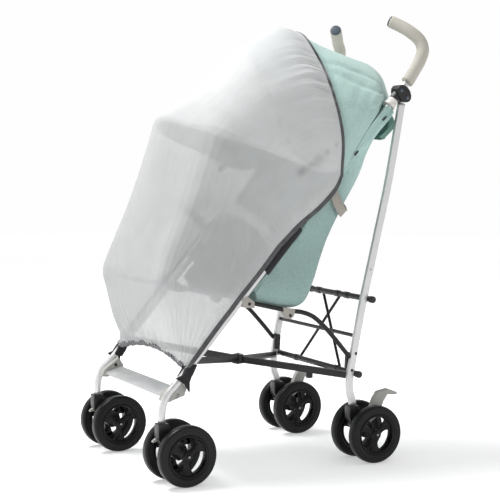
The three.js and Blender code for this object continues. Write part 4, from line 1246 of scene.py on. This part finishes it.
LEVER_OUTLINE = [(-66, 100), (-64, 97), (-50, 101), (-50, 106), (-58, 106)]
CAP_IN, CAP_OUT, CAP_MORE = 9, 1.6, 1.3  # from the bar's end, and more than its radius
CLAMP_MORE = 1.4
# name, bar, places across, half length
CLAMPS = [("bar_clamp", UPPER_BAR, (-88, -45, 45, 88), 8), ("rod_clamp", LOW_BAR, (-98, 98), 7)]
LATCH_R = 0.009
RIVET_R = 0.006
RIVET_RISE = 0.0022


def add_screws(table, side_name, sign):
    for name, at, way, radius, height, mat in table:
        dome_x(name.format(side_name), place(mirror_x(at, sign)), sign * way, radius * MM,
               height * MM, mat)


def pull_outline(y, z, lean):
    """Corners of a zip pull that leans and is a little wider at its lower end."""
    long = PULL_HALF * np.array([math.sin(lean), math.cos(lean)])
    wide = PULL_WIDE * np.array([math.cos(lean), -math.sin(lean)])
    return np.array([y, z]) + [long + wide, long - wide, -long - wide * 1.3, -long + wide * 1.3]


def wire_ring(name, centre, axis):
    axis = unit(np.asarray(axis, float))
    first = unit(np.cross(axis, (0, 0, 1.0)))
    second = np.cross(axis, first)
    rings = []
    for angle in circle(28):
        out = first * math.cos(angle) + second * math.sin(angle)
        rings.append([
            centre + out * (RING_R + RING_WIRE * math.cos(b)) + axis * RING_WIRE * math.sin(b)
            for b in circle(10)
        ])
    return loft(name, rings, BOLT, closed=True)


for side_name, sign in SIDES:
    add_screws(SCREWS, side_name, sign)
for side_name, sign in SIDES:
    for k, pull in enumerate(ZIP_PULLS):
        block(f"zip_pull_{side_name}_{k}", pull_outline(*pull), sign * PULL_X[0],
              sign * PULL_X[1], BLACK, 0.0005)
    angle = circle(20)
    clip_rings = np.array([
        np.stack([sign * CLIP_X + 1.1 * np.cos(angle), y - 0.5 * wide * np.sin(angle),
                  z + 0.8 * wide * np.sin(angle)], -1)
        for y, z, wide in CLIP_LOBES
    ])
    loft(f"hood_clip_{side_name}", place(catmull(clip_rings, np.linspace(0, 1, 30))), CLIP)
    wire_ring(f"strap_ring_{side_name}", place(mirror_x(RING_AT, sign)), mirror_x(RING_AXIS, sign))
    block(f"leg_joint_{side_name}", JOINT_OUTLINE, sign * JOINT_X[0], sign * JOINT_X[1], BLACK,
          0.002)
    block(f"brake_lever_{side_name}", LEVER_OUTLINE, sign * LEVER_X[0], sign * LEVER_X[1], GREY,
          0.001)
    add_screws(LEG_RIVETS, side_name, sign)

for bar_name, (y, z, radius, half) in (("upper", UPPER_BAR), ("lower", LOW_BAR)):
    for side_name, sign in SIDES:
        bar_x(f"{bar_name}_end_cap_{side_name}", sign * (half - CAP_IN), sign * (half + CAP_OUT),
              y, z, radius + CAP_MORE, BLACK, 0.0012)
for name, (y, z, radius, _), places, half in CLAMPS:
    for k, x in enumerate(places):
        bar_x(f"{name}_{k}", x - half, x + half, y, z, radius + CLAMP_MORE, BLACK, 0.001)
latch_path = np.linspace(place([0, 452, 201]), place([0, 452, 176]), 6)
swept("cross_latch", latch_path, LATCH_R, BLACK, (1, 0, 0), 24, 0.0015)
for k, (z, sign) in enumerate(((249, 1), (225, -1))):
    centre = place([0, 248, z])
    angle = circle(20)
    spread = RIVET_R * np.stack([np.cos(angle), np.sin(angle), 0 * angle], -1)
    head = centre + spread * 0.55 + np.array([0, 0, sign * RIVET_RISE])
    loft(f"cross_rivet_{k}", [centre + spread, head], BOLT)

# ---- floor and light ----
FLOOR_TONE = 0.86
FLOOR_GLOW = 0.36
WALL_GLOW = 0.99
WORLD_GLOW = 0.58
STAGE_R = 9
STAGE_STEPS = 96
WALL_TOP = 3.4
WHITE = (1, 1, 1, 1)


def stage_piece(name, points, faces, tone, roughness, glow):
    mat, _, _ = new_material("studio_" + name, None, (tone,) * 3, Roughness=roughness,
                             Specular_IOR_Level=0.0, Emission_Color=WHITE, Emission_Strength=glow)
    mesh = bpy.data.meshes.new(name)
    mesh.from_pydata(points, [], faces)
    mesh.materials.append(mat)
    new_object(name, mesh)


def area_light(name, at, aim, size, power):
    light = bpy.data.lights.new(name, "AREA")
    light.shape = "DISK"
    light.size = size
    light.energy = power
    lamp = new_object(name, light)
    lamp.location = at
    lamp.rotation_euler = (Vector(aim) - Vector(at)).to_track_quat("-Z", "Y").to_euler()


edge = [(STAGE_R * math.cos(a), STAGE_R * math.sin(a)) for a in circle(STAGE_STEPS)]
stage_piece("floor", [(x, y, 0) for x, y in edge], [list(range(STAGE_STEPS))], FLOOR_TONE, 0.9,
            FLOOR_GLOW)
stage_piece("wall", [(x, y, z) for z in (0.0, WALL_TOP) for x, y in edge],
            [[k, (k + 1) % STAGE_STEPS, STAGE_STEPS + (k + 1) % STAGE_STEPS, STAGE_STEPS + k]
             for k in range(STAGE_STEPS)], 0, 1.0, WALL_GLOW)

world = bpy.data.worlds.new("studio")
bpy.context.scene.world = world
world.use_nodes = True
fill(world.node_tree, world.node_tree.nodes["Background"], Color=WHITE, Strength=WORLD_GLOW)
area_light("top_light", (-0.9, -1.0, 3.2), (0, 0, 0.5), 1.6, 108)
area_light("left_light", (-1.2, -3.4, 1.3), (0, 0, 0.6), 1.4, 9)
bpy.context.scene.view_settings.view_transform = "Standard"

# ---- sizes of the soft pieces, worked out and left unused ----
declare_cloth(net_smooth)
declare_cloth(hood_smooth)
declare_cloth(visor_smooth)
declare_cloth(seat_smooth)
declare_cloth(pocket_smooth)
declare_cloth(strap_grid)
